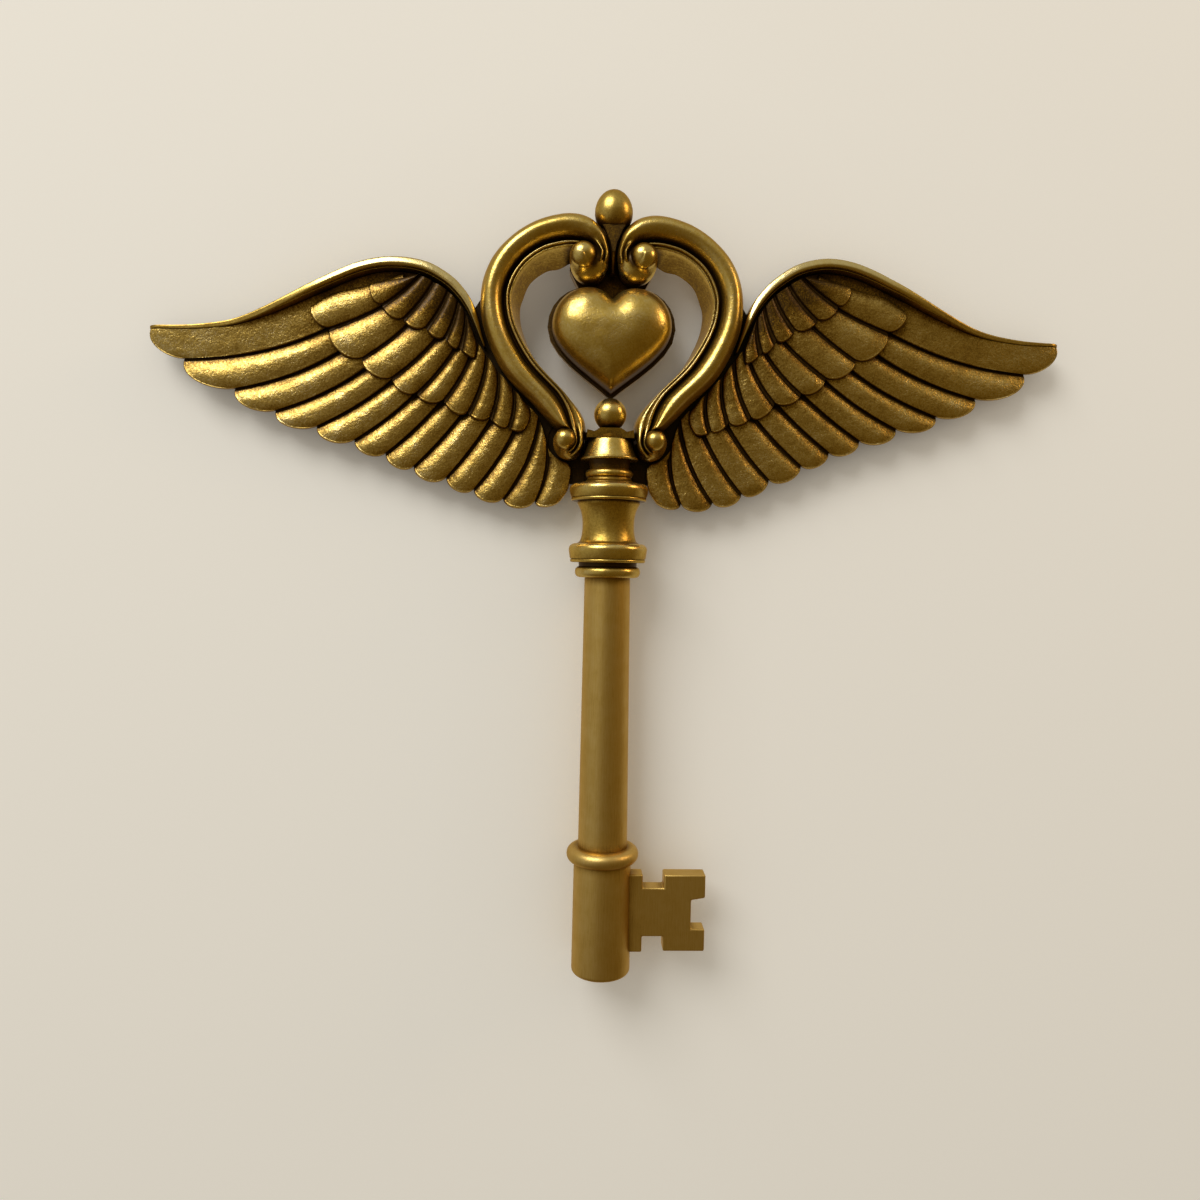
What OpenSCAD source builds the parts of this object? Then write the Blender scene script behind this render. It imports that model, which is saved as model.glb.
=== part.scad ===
// Winged wall key with a heart bow, as an assembly of turned, cast and sheet pieces.
// Millimetres. +Z is up, the front faces -Y, and the wall is the plane y = 0.
// The origin is the middle of the hanger's entry hole. Depths are measured forward from the wall.

/* [Hanger] */
// Thickness of the keyhole plate
hanger_t = 2; // [1.5:0.25:3]
// Width of the keyhole plate
hanger_w = 21; // [20:0.5:21]
// Diameter of the entry hole for the wall screw's head
hanger_hole_d = 9.5; // [8.5:0.25:10]
// Width of the slot for the wall screw's neck
hanger_slot_w = 4.6; // [3.6:0.2:5]
// Drop from the entry hole to the end of the slot
hanger_drop = 5.5; // [4.75:0.25:5.75]
// Depth of the pocket behind the keyhole for the screw's head
hanger_pocket_depth = 5; // [4:0.25:5.5]

/* [Bow] */
// Thickness of the crown block
crown_t = 7; // [6.5:0.25:8]
// Depth of the scrolls from back to crest
scroll_depth = 18; // [16:0.5:20]
// Radius of the upper volutes
upper_volute_r = 8.1; // [7.8:0.1:8.4]
// Radius of the lower volutes
lower_volute_r = 7.1; // [6.8:0.1:7.3]
// Diameter of the upper volutes' pearls
upper_pearl_d = 10.4; // [9:0.2:11]
// Diameter of the lower volutes' pearls
lower_pearl_d = 8.6; // [7.5:0.2:9]
// Diameter of the pearls' stems
pearl_stem_d = 3; // [2:0.25:4]
// Width of the finial
finial_d = 16.4; // [14:0.2:18]
// Height of the finial above its seat
finial_h = 16.5; // [15:0.5:18]
// Diameter of the finial's spigot
finial_spigot_d = 5; // [4:0.25:5.5]

/* [Heart] */
// Height of the domed heart over its plate
heart_h = 18; // [15:0.5:20]
// Thickness of the heart's plate
heart_plate_t = 3; // [2.5:0.25:4]
// How far the plate stands out past the dome
heart_lip = 2; // [1.2:0.1:2]
// Gap between the crown block and the heart's plate, filled by the plate's boss
heart_standoff = 3; // [2:0.25:4]

/* [Column] */
// Diameter of the two collar rings, whose backs touch the wall
ring_d = 34.6; // [33:0.2:36]
// Height of each collar ring
ring_h = 7.6; // [6.5:0.1:8.5]
// Diameter of the pearl under the heart
heart_pearl_d = 14.2; // [13:0.2:14.4]
// Diameter of the saddle's neck
saddle_neck_d = 19.6; // [18:0.2:20]
// Height of the saddle's neck
saddle_neck_h = 4.2; // [3.6:0.2:5]
// Thickness of the saddle's arms
saddle_t = 4; // [3:0.25:5]
// Diameter of the flared cup's lip
cup_d = 25.2; // [24:0.2:25.6]
// Height of the flared cup
cup_h = 9.2; // [8.5:0.1:10]
// Height of the neck under the cup
neck_h = 10.2; // [9:0.2:11]
// Diameter of the neck at its foot
neck_d = 25; // [23:0.5:26]
// Diameter of the neck's bead
neck_bead_d = 20.4; // [19:0.2:21]
// Height of the baluster
baluster_h = 18.4; // [16:0.2:21]
// Diameter of the baluster at its ends
baluster_d = 27.4; // [26:0.2:29]
// Diameter of the baluster's waist
baluster_waist_d = 22.6; // [20:0.2:24]
// Height of the groove over the ferrule
groove_h = 2.3; // [1.5:0.1:3]
// Diameter of the ferrule
ferrule_d = 28.7; // [26:0.2:30]
// Height of the ferrule
ferrule_h = 4.9; // [4:0.1:6]
// Diameter of the tie rod
tie_rod_d = 5; // [4:0.25:6]

/* [Shank] */
// Length of the shank between ferrule and barrel
shank_l = 126.1; // [110:1:140]
// Diameter of the shank under the ferrule
shank_top_d = 20; // [19:0.2:21]
// Diameter of the shank at the barrel
shank_end_d = 22; // [21:0.2:22.6]
// Bore of the shank
shank_bore_d = 14; // [12:0.25:15]
// Diameter of the shank's tenon in the barrel
shank_tenon_d = 18; // [17:0.25:19]
// Length of the shank's tenon in the barrel
shank_tenon_l = 11; // [8:0.5:12]
// Diameter of the barrel's bead
bead_d = 32; // [30:0.2:34]
// Height of the barrel's bead
bead_h = 6.9; // [6:0.1:8]
// Diameter of the barrel at its top
barrel_top_d = 25.4; // [24.6:0.1:25.8]
// Diameter of the barrel at its end
barrel_end_d = 26.2; // [25.8:0.1:26.6]
// Length of the barrel
barrel_l = 49.9; // [47:0.5:54]
// Rounding of the barrel's end
barrel_round = 2; // [1:0.25:3]

/* [Bit] */
// Thickness of the bit
bit_t = 8.3; // [7:0.1:9]
// Reach of the bit from the column's axis
bit_reach = 45.9; // [43:0.1:49]
// Height of the bit
bit_h = 34.4; // [32:0.2:36]
// Distance from the barrel's top to the bit's top
bit_drop = 5; // [4.5:0.1:6]
// Width of the two wards in the bit's top and bottom edges
ward_w = 9.4; // [8:0.1:10]
// Depth of the ward in the top edge
top_ward = 6; // [5:0.1:7]
// Depth of the ward in the bottom edge
bottom_ward = 6.6; // [5.5:0.1:7.5]
// Depth of the ward in the outer edge
side_ward = 6.2; // [5:0.1:7]
// Height of the ward in the outer edge
side_ward_h = 14; // [12:0.2:15]
// Thickness of the bit's tenon in the barrel
bit_tenon_t = 5; // [4:0.25:6]
// Diameter of the cross pins
bit_pin_d = 3; // [2:0.25:3.5]

/* [Wings] */
// Reach of each wing's tip from the middle
wing_reach = 201; // [185:1:215]
// Thickness of the wing's plate
wing_plate_t = 3; // [2:0.25:4]
// Thickness of the row of primaries
primary_t = 3.2; // [2.5:0.1:4]
// Thickness of the row of coverts
covert_t = 2.6; // [2:0.1:3.2]
// Thickness of the row of lesser coverts
lesser_t = 2.3; // [1.8:0.1:3]
// How far the leading rim stands over the lesser coverts
rim_proud = 1.4; // [0.8:0.1:3]

/* [Fits] */
// Diameter of the screws
screw_d = 3; // [2.5:0.25:3.2]
// Clearance on the diameter of every bore round its pin, rod or screw
bore_clear = 0.2; // [0.1:0.05:0.3]
// Gap between pieces that lie side by side
side_gap = 0.4; // [0.3:0.05:0.5]

/* [Hidden] */
$fn = 64;

gold = [0.62, 0.49, 0.20];
bright_gold = [0.74, 0.60, 0.28];
brushed_gold = [0.60, 0.47, 0.24];
dark_gold = [0.25, 0.19, 0.09];
steel = [0.62, 0.62, 0.60];

// Depths from the wall
axis_depth = ring_d / 2;
crown_front = hanger_t + crown_t;
scroll_back = crown_front;
scroll_crest = scroll_back + scroll_depth;
wing_back = scroll_back - wing_plate_t;
primary_front = scroll_back + primary_t;
covert_front = primary_front + covert_t;
lesser_front = covert_front + lesser_t;
rim_front = lesser_front + rim_proud;
heart_plate_back = crown_front + heart_standoff;
heart_base = heart_plate_back + heart_plate_t;

// Heights of the column's joints, from the pearl under the heart downwards
pearl_z = -64.4;
pearl_flat = 0.5;
saddle_top = pearl_z - heart_pearl_d / 2 + pearl_flat;
cup_top = saddle_top - saddle_neck_h;
neck_top = cup_top - cup_h;
upper_ring_top = neck_top - neck_h;
baluster_top = upper_ring_top - ring_h;
lower_ring_top = baluster_top - baluster_h;
ferrule_top = lower_ring_top - ring_h - groove_h;
shank_top = ferrule_top - ferrule_h;
barrel_top = shank_top - shank_l;
barrel_foot = barrel_top - barrel_l;
bit_top = barrel_top - bit_drop;
finial_z = 15.2;
volute_front = scroll_back + 0.62 * scroll_depth;

// Screws and stems
head_d = 1.75 * screw_d;
head_h = 0.5 * screw_d;
hanger_screw_z = [-8.4, 12.7];
hanger_screw_d = 2.2;
crown_screw_at = [13.6, 5];
heart_screw_z = [-17.5, -23];
heart_screw_d = 2.5;
upper_volute_at = [10.4, -0.6];
lower_volute_at = [18.1, -78];
upper_pearl_at = [12.9, 1.4];
lower_pearl_at = [20.2, -76.9];
saddle_screw_at = [15.6, -80];
wing_screw_at = [[52.2, -17], [50, -30.5], [38.8, -50.2]];
stem_l = 6;
screw_bite = 5;
plug_h = 14;
ferrule_spigot_h = 8;

// The right scroll's edges, from the curl of its upper volute to the curl of its lower one:
// on the wing's side, on the heart's side, and how far the back stands inside the front there
scroll_outer = [[10.6, -8], [4.5, -5.3], [1.5, 1.2], [1.9, 7], [4.6, 13.6], [11, 19], [20.5, 20.3],
    [33.4, 16.8], [44.3, 9.7], [52.4, 0], [56.5, -13], [55.3, -29], [47, -46.8], [33.5, -60.6],
    [23.8, -70.2], [17.6, -72.9], [15.4, -77.4], [17.6, -81.4], [21.6, -81.6]];
scroll_inner = [[10.8, -3.9], [9.5, -0.5], [9, 2], [10.5, 4], [12.5, 5], [16.5, 5.2], [22.5, 4.6],
    [30, 2.2], [37.3, -3.4], [41.6, -10.6], [43, -18.4], [40.4, -29.2], [32.3, -42.8], [20, -55.6],
    [12.7, -65.2], [10.8, -72.6], [11.5, -79.5], [16.4, -84], [21.8, -83.2]];
scroll_draft = [0.03, 0.03, 0.03, 0.03, 0.05, 0.13, 0.28, 0.24, 0.22, 0.24, 0.19, 0.12, 0.05, 0.05,
    0.05, 0.03, 0.03, 0.03, 0.03];

// The moulding across the scroll: place from outer to inner edge, then height as a share of the depth
scroll_profile = [[0, 0], [0, 0.45], [0.035, 0.7], [0.12, 0.9], [0.25, 1], [0.4, 0.97], [0.56, 0.8],
    [0.68, 0.58], [0.75, 0.5], [0.79, 0.66], [0.86, 0.76], [0.94, 0.72], [1, 0.58]];

// The wing's leading edge from tip to root, with the rim's width at each point
rim_drawn = [[201, -28.3], [183, -27.5], [165, -24.5], [149, -18.3], [129, -8.2], [110, 0.6], [95, 3.4],
    [81, 1.2], [70.3, -5], [63.7, -11.8], [59.8, -18.5], [57.7, -25], [56.3, -30.5], [55, -35.2]];
rim_width = [1.4, 2, 2.6, 3.3, 4.2, 4.8, 5, 5, 4.8, 4.5, 3.8, 2.8, 1.8, 1];

// Another reach than the drawn one stretches all of the wing that lies outside the bow
drawn_reach = rim_drawn[0][0];
bow_side = max([for (p = scroll_outer) p[0]]);
function spread(points) = [for (p = points)
    p + [(wing_reach - drawn_reach) * max(0, (p[0] - bow_side) / (drawn_reach - bow_side)), 0]];
rim_edge = spread(rim_drawn);

// Where each feather's tip leaves the one above it, from the leading edge to the body
primary_notches = spread([[186.4, -42], [164.6, -54], [147, -62.8], [129, -69], [112.5, -74.6],
    [98.8, -80.2], [86.4, -86], [72, -91.5], [59.8, -97.2], [46.8, -101.2], [32.6, -102]]);
covert_notches = spread([[122.4, -26.5], [108.3, -39], [95.4, -47.2], [84.6, -54], [73, -57.6],
    [62.5, -63.4], [52.8, -65.6], [44.7, -69.4]]);
lesser_notches = spread([[99.2, -16.4], [90.2, -22.2], [80.6, -26.4], [72.6, -31], [66.4, -35.8]]);

// The line on which each row's feathers begin, and the row's edge beside the body
primary_roots = spread([[104, -13.5], [89, -30], [69, -41.5], [49, -50.6], [32.3, -63.8],
    [26.2, -83]]);
primary_bows = [0.08, 0.04, 0.085];
primary_body = [[26.2, -83], [22.5, -84.5], [18.5, -86.2], [16.9, -88.8], [17.2, -92.6], [19.8, -97.2],
    [24.6, -101.2]];
covert_roots = spread([[90, -10.5], [69, -21.5], [59.4, -32.6], [49.8, -45.6], [37.4, -59]]);
covert_body = [[37.4, -59], [35.4, -62], [34.9, -65], [35.6, -68], [37.2, -70.6]];
lesser_roots = spread([[84, -4.5], [73.2, -10.2], [65.8, -18], [61.8, -25.4]]);
lesser_body = [[61.8, -25.4], [59.8, -31], [58.6, -35.4], [59, -39.6]];

function lerp(a, b, t) = a + (b - a) * t;
function curve2(a, b, c, t) = lerp(lerp(a, b, t), lerp(b, c, t), t);
function curve3(a, b, c, d, t) = lerp(curve2(a, b, c, t), curve2(b, c, d, t), t);

// A smooth curve through the knots: u runs from 0 to the number of knots less one
function through(knots, u) =
    let (last = len(knots) - 1,
         i = min(floor(u), last - 1),
         t = u - i,
         a = knots[max(i - 1, 0)],
         b = knots[i],
         c = knots[i + 1],
         d = knots[min(i + 2, last)])
    0.5 * (2 * b + (c - a) * t + (2 * a - 5 * b + 4 * c - d) * t * t
        + (3 * b - a - 3 * c + d) * t * t * t);

// A point of the outline plane brought to its depth from the wall
function at_depth(p, depth) = [p[0], -depth, p[1]];

// The normal to a curve through knots, on its right-hand side as u grows
function side_of(knots, u) =
    let (a = through(knots, max(u - 0.01, 0)),
         b = through(knots, min(u + 0.01, len(knots) - 1)),
         d = (b - a) / norm(b - a))
    [d[1], -d[0]];

// The inner side of the rim, on the feathers' side
function rim_inner(u, gap) =
    through(rim_edge, u) - side_of(rim_edge, u) * (through(rim_width, u) + gap);

// A solid through a list of closed rings, each with the same number of points
module skin(rings) {
    n = len(rings[0]);
    m = len(rings);
    sides = [for (j = [0 : m - 2], i = [0 : n - 1])
        let (k = (i + 1) % n)
        each [[j * n + i, (j + 1) * n + k, j * n + k], [j * n + i, (j + 1) * n + i, (j + 1) * n + k]]];
    first_cap = [for (i = [0 : n - 1]) i];
    last_cap = [for (i = [n - 1 : -1 : 0]) (m - 1) * n + i];
    polyhedron(points = [for (r = rings) each r], faces = concat(sides, [first_cap, last_cap]),
        convexity = 6);
}

// A sheet between a front and a back grid of points, closed round its edge
module sheet(front, back) {
    m = len(front);
    n = len(front[0]);
    b = m * n;
    grid = [for (i = [0 : m - 2], j = [0 : n - 2])
        [i * n + j, (i + 1) * n + j, (i + 1) * n + j + 1, i * n + j + 1]];
    fronts = [for (q = grid) each [[q[0], q[2], q[1]], [q[0], q[3], q[2]]]];
    backs = [for (q = grid) each [[b + q[0], b + q[1], b + q[2]], [b + q[0], b + q[2], b + q[3]]]];
    rim = concat([for (i = [0 : m - 1]) i * n], [for (j = [1 : n - 1]) (m - 1) * n + j],
        [for (i = [m - 2 : -1 : 0]) i * n + n - 1], [for (j = [n - 2 : -1 : 1]) j]);
    edges = [for (i = [0 : len(rim) - 1])
        let (p = rim[i], q = rim[(i + 1) % len(rim)])
        each [[p, q, b + q], [p, b + q, b + p]]];
    polyhedron(points = concat([for (c = front) each c], [for (c = back) each c]),
        faces = concat(fronts, backs, edges), convexity = 10);
}

// An outline drawn in x and z, made solid between two depths
module slab(from, to) {
    translate([0, -from, 0]) rotate([90, 0, 0]) linear_extrude(to - from) children();
}

// A round bar from front to back
module bar(at, d, from, to) {
    translate([at[0], -from, at[1]]) rotate([90, 0, 0]) cylinder(d = d, h = to - from);
}

// A profile of radius and height, turned about the column's axis
module turned(points) {
    translate([0, -axis_depth, 0]) rotate_extrude() polygon(points);
}

module column_bore(d, top, foot) {
    translate([0, -axis_depth, foot]) cylinder(d = d, h = top - foot);
}

// A countersunk screw driven forward, with its head's back at the given depth
module screw(at, d, back, length) {
    bar(at, 1.75 * d, back, back + 0.5 * d);
    bar(at, d, back + 0.5 * d, back + length);
}

module screw_pair(at, back, length) {
    for (side = [-1, 1]) screw([side * at[0], at[1]], screw_d, back, length);
}

module screw_hole(at, d, back, length) {
    bar(at, 1.75 * d + bore_clear, back - 1, back + 0.5 * d);
    bar(at, d + bore_clear, back, back + length + bore_clear);
}

module screw_hole_pair(at, back, length) {
    for (side = [-1, 1]) screw_hole([side * at[0], at[1]], screw_d, back, length);
}

// Half-round ring edge between two heights
function ring_edge(r, top, h) =
    [for (a = [90 : -20 : -90]) [r - h / 2 * (1 - cos(a)), top - h / 2 + h / 2 * sin(a)]];

module finial_ball() {
    neck = finial_d * 0.36;
    waist = 0.4;
    color(bright_gold) {
        turned(concat([[0, finial_z], [neck, finial_z]],
            [for (a = [-44 : 8 : 0])
                [finial_d / 2 * cos(a), finial_z + finial_h * (waist + 0.56 * sin(a))]],
            [for (a = [10 : 10 : 90])
                [finial_d / 2 * pow(cos(a), 0.9), finial_z + finial_h * (waist + (1 - waist) * sin(a))]]));
        translate([0, -axis_depth, finial_z - stem_l]) cylinder(d = finial_spigot_d, h = stem_l + 1);
    }
}

crown_outline = [[5.4, finial_z], [12.5, finial_z - 0.2], [17, 12.5], [18.8, 0], [15.2, -7],
    [11.5, -13], [8, -27]];
wedge_outline = [[4.9, finial_z], [3.7, 13.2], [1.4, 8], [0.5, 4]];

function both_sides(half) =
    concat(half, [for (i = [len(half) - 1 : -1 : 0]) [-half[i][0], half[i][1]]]);

module crown_block() {
    head_room = hanger_hole_d + 1.4;
    color(dark_gold) difference() {
        union() {
            slab(hanger_t, crown_front) polygon(both_sides(crown_outline));
            slab(crown_front - 1, axis_depth + finial_spigot_d / 2 + 3) polygon(both_sides(wedge_outline));
        }
        for (z = [0, hanger_drop])
            bar([0, z], head_room, hanger_t - 1, hanger_t + hanger_pocket_depth);
        slab(hanger_t - 1, hanger_t + hanger_pocket_depth)
            translate([-head_room / 2, 0]) square([head_room, hanger_drop]);
        for (z = hanger_screw_z)
            bar([0, z], hanger_screw_d + bore_clear, hanger_t - 1, hanger_t + 4);
        screw_hole_pair(crown_screw_at, hanger_t, crown_t + 1);
        for (z = heart_screw_z)
            screw_hole([0, z], heart_screw_d, hanger_t, crown_t + 1);
        column_bore(finial_spigot_d + bore_clear, finial_z + 1, finial_z - stem_l - bore_clear);
    }
}

module crown_screws() {
    color(steel) screw_pair(crown_screw_at, hanger_t, crown_t + screw_bite);
}

// A volute's boss, with a rounded front
module volute(at, r) {
    edge = 0.7 * r;
    translate([at[0], 0, at[1]]) rotate([90, 0, 0]) rotate_extrude()
        polygon(concat([[0, scroll_back], [r, scroll_back]],
            [for (a = [0 : 10 : 90]) [r - edge + edge * cos(a), volute_front - edge + edge * sin(a)]],
            [[0, volute_front]]));
}

// The right scroll's moulded band, swept between its outer and inner edges. Its crest sinks
// into the volutes at both ends
module scroll_band() {
    steps = 3;
    last = len(scroll_outer) - 1;
    skin([for (k = [0 : last * steps])
        let (u = k / steps,
             o = through(scroll_outer, u),
             i = through(scroll_inner, u),
             tall = scroll_depth * min(1, 0.4 + 0.35 * min(u, last - u)),
             back_edge = [1 + through(scroll_draft, u), 0])
        [for (p = concat(scroll_profile, [back_edge]))
            at_depth(lerp(o, i, p[0]), scroll_back + p[1] * tall)]]);
}

module scroll() {
    color(gold) difference() {
        union() {
            difference() {
                scroll_band();
                bar(upper_pearl_at, upper_pearl_d + 2 * side_gap, volute_front - 1, scroll_crest + 2);
            }
            volute(upper_volute_at, upper_volute_r);
            volute(lower_volute_at, lower_volute_r);
        }
        for (at = [upper_pearl_at, lower_pearl_at])
            bar(at, pearl_stem_d + bore_clear, volute_front - stem_l - bore_clear, scroll_crest + 2);
        for (at = concat([crown_screw_at, saddle_screw_at], wing_screw_at))
            bar(at, screw_d + bore_clear, scroll_back - 1, scroll_back + screw_bite + bore_clear);
    }
}

module right_scroll() scroll();
module left_scroll() mirror([1, 0, 0]) scroll();

// A ball with a stem that fits the volute's socket
module pearl(at, d) {
    flat = 0.6;
    middle = volute_front + d / 2 - flat;
    color(bright_gold) {
        translate([at[0], 0, at[1]]) rotate([90, 0, 0]) rotate_extrude()
            polygon(concat([[0, volute_front]],
                [for (a = [-60 : 10 : 90]) [d / 2 * cos(a), max(middle + d / 2 * sin(a), volute_front)]]));
        bar(at, pearl_stem_d, volute_front - stem_l, volute_front + 1);
    }
}

module upper_right_pearl() pearl(upper_pearl_at, upper_pearl_d);
module upper_left_pearl() mirror([1, 0, 0]) pearl(upper_pearl_at, upper_pearl_d);
module lower_right_pearl() pearl(lower_pearl_at, lower_pearl_d);
module lower_left_pearl() mirror([1, 0, 0]) pearl(lower_pearl_at, lower_pearl_d);

// The heart's right half from cleft to tip, as three curves
heart_cleft = [0, -15.4];
heart_tip = [0, -55.6];
heart_lobe = [10, -10.7];
heart_side = [26, -27];
heart_middle = [0, -31];
heart_steps = 6;

function heart_half() = concat(
    [for (k = [0 : 1]) curve3(heart_cleft, [2.2, -12.6], [5.5, -10.7], heart_lobe, k / 2)],
    [for (k = [0 : heart_steps - 1])
        curve3(heart_lobe, [18.5, -10.7], [26, -17.5], heart_side, k / heart_steps)],
    [for (k = [0 : heart_steps])
        curve3(heart_side, [26, -38], [10.5, -47], heart_tip, k / heart_steps)]);

function heart_outline() =
    let (half = heart_half())
    concat(half, [for (i = [len(half) - 2 : -1 : 1]) [-half[i][0], half[i][1]]]);

module heart_front() {
    outline = heart_outline();
    // Each ring of the dome: its share of the outline, and its share of the height
    dome = [[1, 0], [1, 0.16], [0.965, 0.4], [0.88, 0.64], [0.74, 0.83], [0.54, 0.945], [0.3, 0.99],
        [0.1, 1]];
    color(gold) skin([for (d = dome)
        [for (p = outline) at_depth(lerp(heart_middle, p, d[0]), heart_base + d[1] * heart_h)]]);
}

module heart_back() {
    grow = 1 + heart_lip / heart_side[0];
    boss_w = 13;
    color(dark_gold) difference() {
        union() {
            slab(heart_plate_back, heart_base)
                polygon([for (p = heart_outline()) lerp(heart_middle, p, grow)]);
            slab(crown_front, heart_plate_back + 1)
                translate([-boss_w / 2, -26.5]) square([boss_w, 12]);
        }
        for (z = heart_screw_z)
            bar([0, z], heart_screw_d + bore_clear, crown_front - 1, heart_base - 0.8);
    }
}

module heart_screws() {
    color(steel) for (z = heart_screw_z)
        screw([0, z], heart_screw_d, hanger_t, heart_base - 1.4 - hanger_t);
}

module heart_pearl() {
    r = heart_pearl_d / 2;
    flat_a = -asin((r - pearl_flat) / r);
    color(bright_gold) difference() {
        turned(concat([[0, saddle_top]],
            [for (k = [0 : 16]) let (a = lerp(flat_a, 90, k / 16)) [r * cos(a), pearl_z + r * sin(a)]]));
        column_bore(tie_rod_d + bore_clear, pearl_z + 3, saddle_top - 1);
    }
}

// The bracket that carries the scrolls' lower ends and is clamped by the tie rod
module saddle() {
    arm_h = saddle_neck_h;
    color(dark_gold) difference() {
        union() {
            translate([0, -axis_depth, cup_top]) cylinder(d = saddle_neck_d, h = saddle_neck_h);
            translate([-4, -axis_depth, cup_top]) cube([8, axis_depth - scroll_back + 1, arm_h]);
            slab(scroll_back - saddle_t, scroll_back) {
                translate([-lower_volute_at[0], cup_top]) square([2 * lower_volute_at[0], arm_h]);
                for (side = [-1, 1])
                    translate([side * lower_volute_at[0], lower_volute_at[1]])
                        circle(r = lower_volute_r - 0.8);
            }
        }
        translate([0, -axis_depth, neck_top - 1]) cylinder(d = cup_d + 2 * side_gap, h = cup_h + 1);
        column_bore(tie_rod_d + bore_clear, saddle_top + 1, cup_top - 1);
        screw_hole_pair(saddle_screw_at, scroll_back - saddle_t, saddle_t + 1);
    }
}

module saddle_screws() {
    color(steel) screw_pair(saddle_screw_at, scroll_back - saddle_t, saddle_t + screw_bite);
}

module flared_cup() {
    top_r = 0.37 * cup_d;
    lip = 1.1;
    color(gold) difference() {
        turned(concat([[0, neck_top], [cup_d / 2, neck_top], [cup_d / 2, neck_top + lip]],
            [for (k = [1 : 7]) let (t = k / 8)
                [lerp(cup_d / 2 - 0.6, top_r, sin(90 * t)), lerp(neck_top + lip, cup_top - 0.8, t)]],
            [[top_r, cup_top - 0.8], [top_r - 0.6, cup_top], [0, cup_top]]));
        column_bore(tie_rod_d + bore_clear, cup_top + 1, neck_top - 1);
    }
}

module neck_bead() {
    foot_r = neck_d / 2;
    top_r = 0.43 * neck_bead_d;
    bead_z = lerp(upper_ring_top, neck_top, 0.42);
    color(gold) difference() {
        union() {
            turned(concat([[0, upper_ring_top], [foot_r, upper_ring_top]],
                [for (k = [0 : 8]) let (t = k / 8)
                    [lerp(foot_r - 0.3, top_r, sin(90 * t)),
                        lerp(upper_ring_top + 0.6, bead_z, 1 - cos(90 * t))]],
                [[top_r, neck_top], [0, neck_top]]));
            translate([0, -axis_depth, bead_z]) rotate_extrude()
                translate([neck_bead_d / 2 - 1.6, 0]) circle(r = 1.6);
        }
        column_bore(tie_rod_d + bore_clear, neck_top + 1, upper_ring_top - 1);
    }
}

module collar_ring(top) {
    turned(concat([[0, top]], ring_edge(ring_d / 2, top, ring_h), [[0, top - ring_h]]));
}

module upper_ring() {
    color(bright_gold) difference() {
        collar_ring(upper_ring_top);
        column_bore(tie_rod_d + bore_clear, upper_ring_top + 1, baluster_top - 1);
    }
}

module baluster() {
    end_r = baluster_d / 2;
    waist_r = baluster_waist_d / 2;
    color(gold) difference() {
        turned(concat([[0, lower_ring_top], [end_r, lower_ring_top]],
            [for (k = [0 : 12]) let (t = k / 12, z = lerp(lower_ring_top + 1, baluster_top - 1, t))
                [waist_r + (end_r - waist_r) * pow(abs(2 * t - 0.84) / 1.16, 2.4), z]],
            [[end_r, baluster_top], [0, baluster_top]]));
        column_bore(tie_rod_d + bore_clear, baluster_top + 1, lower_ring_top - 1);
    }
}

module lower_ring() {
    groove_r = ferrule_d / 2 - 1.6;
    color(bright_gold) difference() {
        union() {
            collar_ring(lower_ring_top);
            translate([0, -axis_depth, ferrule_top]) cylinder(r = groove_r, h = groove_h + 1);
        }
        column_bore(tie_rod_d + bore_clear, lower_ring_top + 1, ferrule_top - 1);
    }
}

module ferrule_ring() {
    color(bright_gold) difference() {
        union() {
            turned(concat([[0, ferrule_top]], ring_edge(ferrule_d / 2, ferrule_top, ferrule_h),
                [[0, shank_top]]));
            translate([0, -axis_depth, shank_top - ferrule_spigot_h])
                cylinder(d = shank_bore_d - bore_clear, h = ferrule_spigot_h + 1);
        }
        column_bore(tie_rod_d + bore_clear, ferrule_top + 1, shank_top - ferrule_spigot_h - 1);
    }
}

plug_top = shank_top - ferrule_spigot_h - 1;

module shank_plug() {
    color(steel) difference() {
        translate([0, -axis_depth, plug_top - plug_h]) cylinder(d = shank_bore_d - bore_clear, h = plug_h);
        column_bore(tie_rod_d + bore_clear, plug_top + 1, plug_top - plug_h - 1);
    }
}

module tie_rod() {
    foot = plug_top - plug_h + 2;
    color(steel) translate([0, -axis_depth, foot]) cylinder(d = tie_rod_d, h = pearl_z + 2.8 - foot);
}

module shank() {
    seat = barrel_top;
    color(brushed_gold) difference() {
        turned([[0, seat - shank_tenon_l], [shank_tenon_d / 2, seat - shank_tenon_l],
            [shank_tenon_d / 2, seat], [shank_end_d / 2, seat], [shank_top_d / 2, shank_top],
            [0, shank_top]]);
        column_bore(shank_bore_d, shank_top + 1, seat - shank_tenon_l - 1);
    }
}

module barrel_ring() {
    color(bright_gold) difference() {
        turned(concat([[0, barrel_top + bead_h]], ring_edge(bead_d / 2, barrel_top + bead_h, bead_h),
            [[0, barrel_top]]));
        column_bore(shank_end_d + bore_clear, barrel_top + bead_h + 1, barrel_top - 1);
    }
}

barrel_r = barrel_end_d / 2;
tenon_reach = 4;
tenon_drop = 3;

module tenon_box(grow) {
    t = bit_tenon_t + grow;
    translate([tenon_reach - grow / 2, -axis_depth - t / 2, bit_top - bit_h + tenon_drop - grow / 2])
        cube([barrel_r + 2 - tenon_reach, t, bit_h - 2 * tenon_drop + grow]);
}

bit_pin_x = 8.2;
bit_pin_z = [bit_top - 10, bit_top - bit_h + 10];
bit_pin_back = axis_depth - sqrt(pow(barrel_top_d / 2, 2) - pow(bit_pin_x + bit_pin_d / 2, 2));
bit_pin_front = axis_depth + bit_tenon_t / 2 + 1.5;

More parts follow.
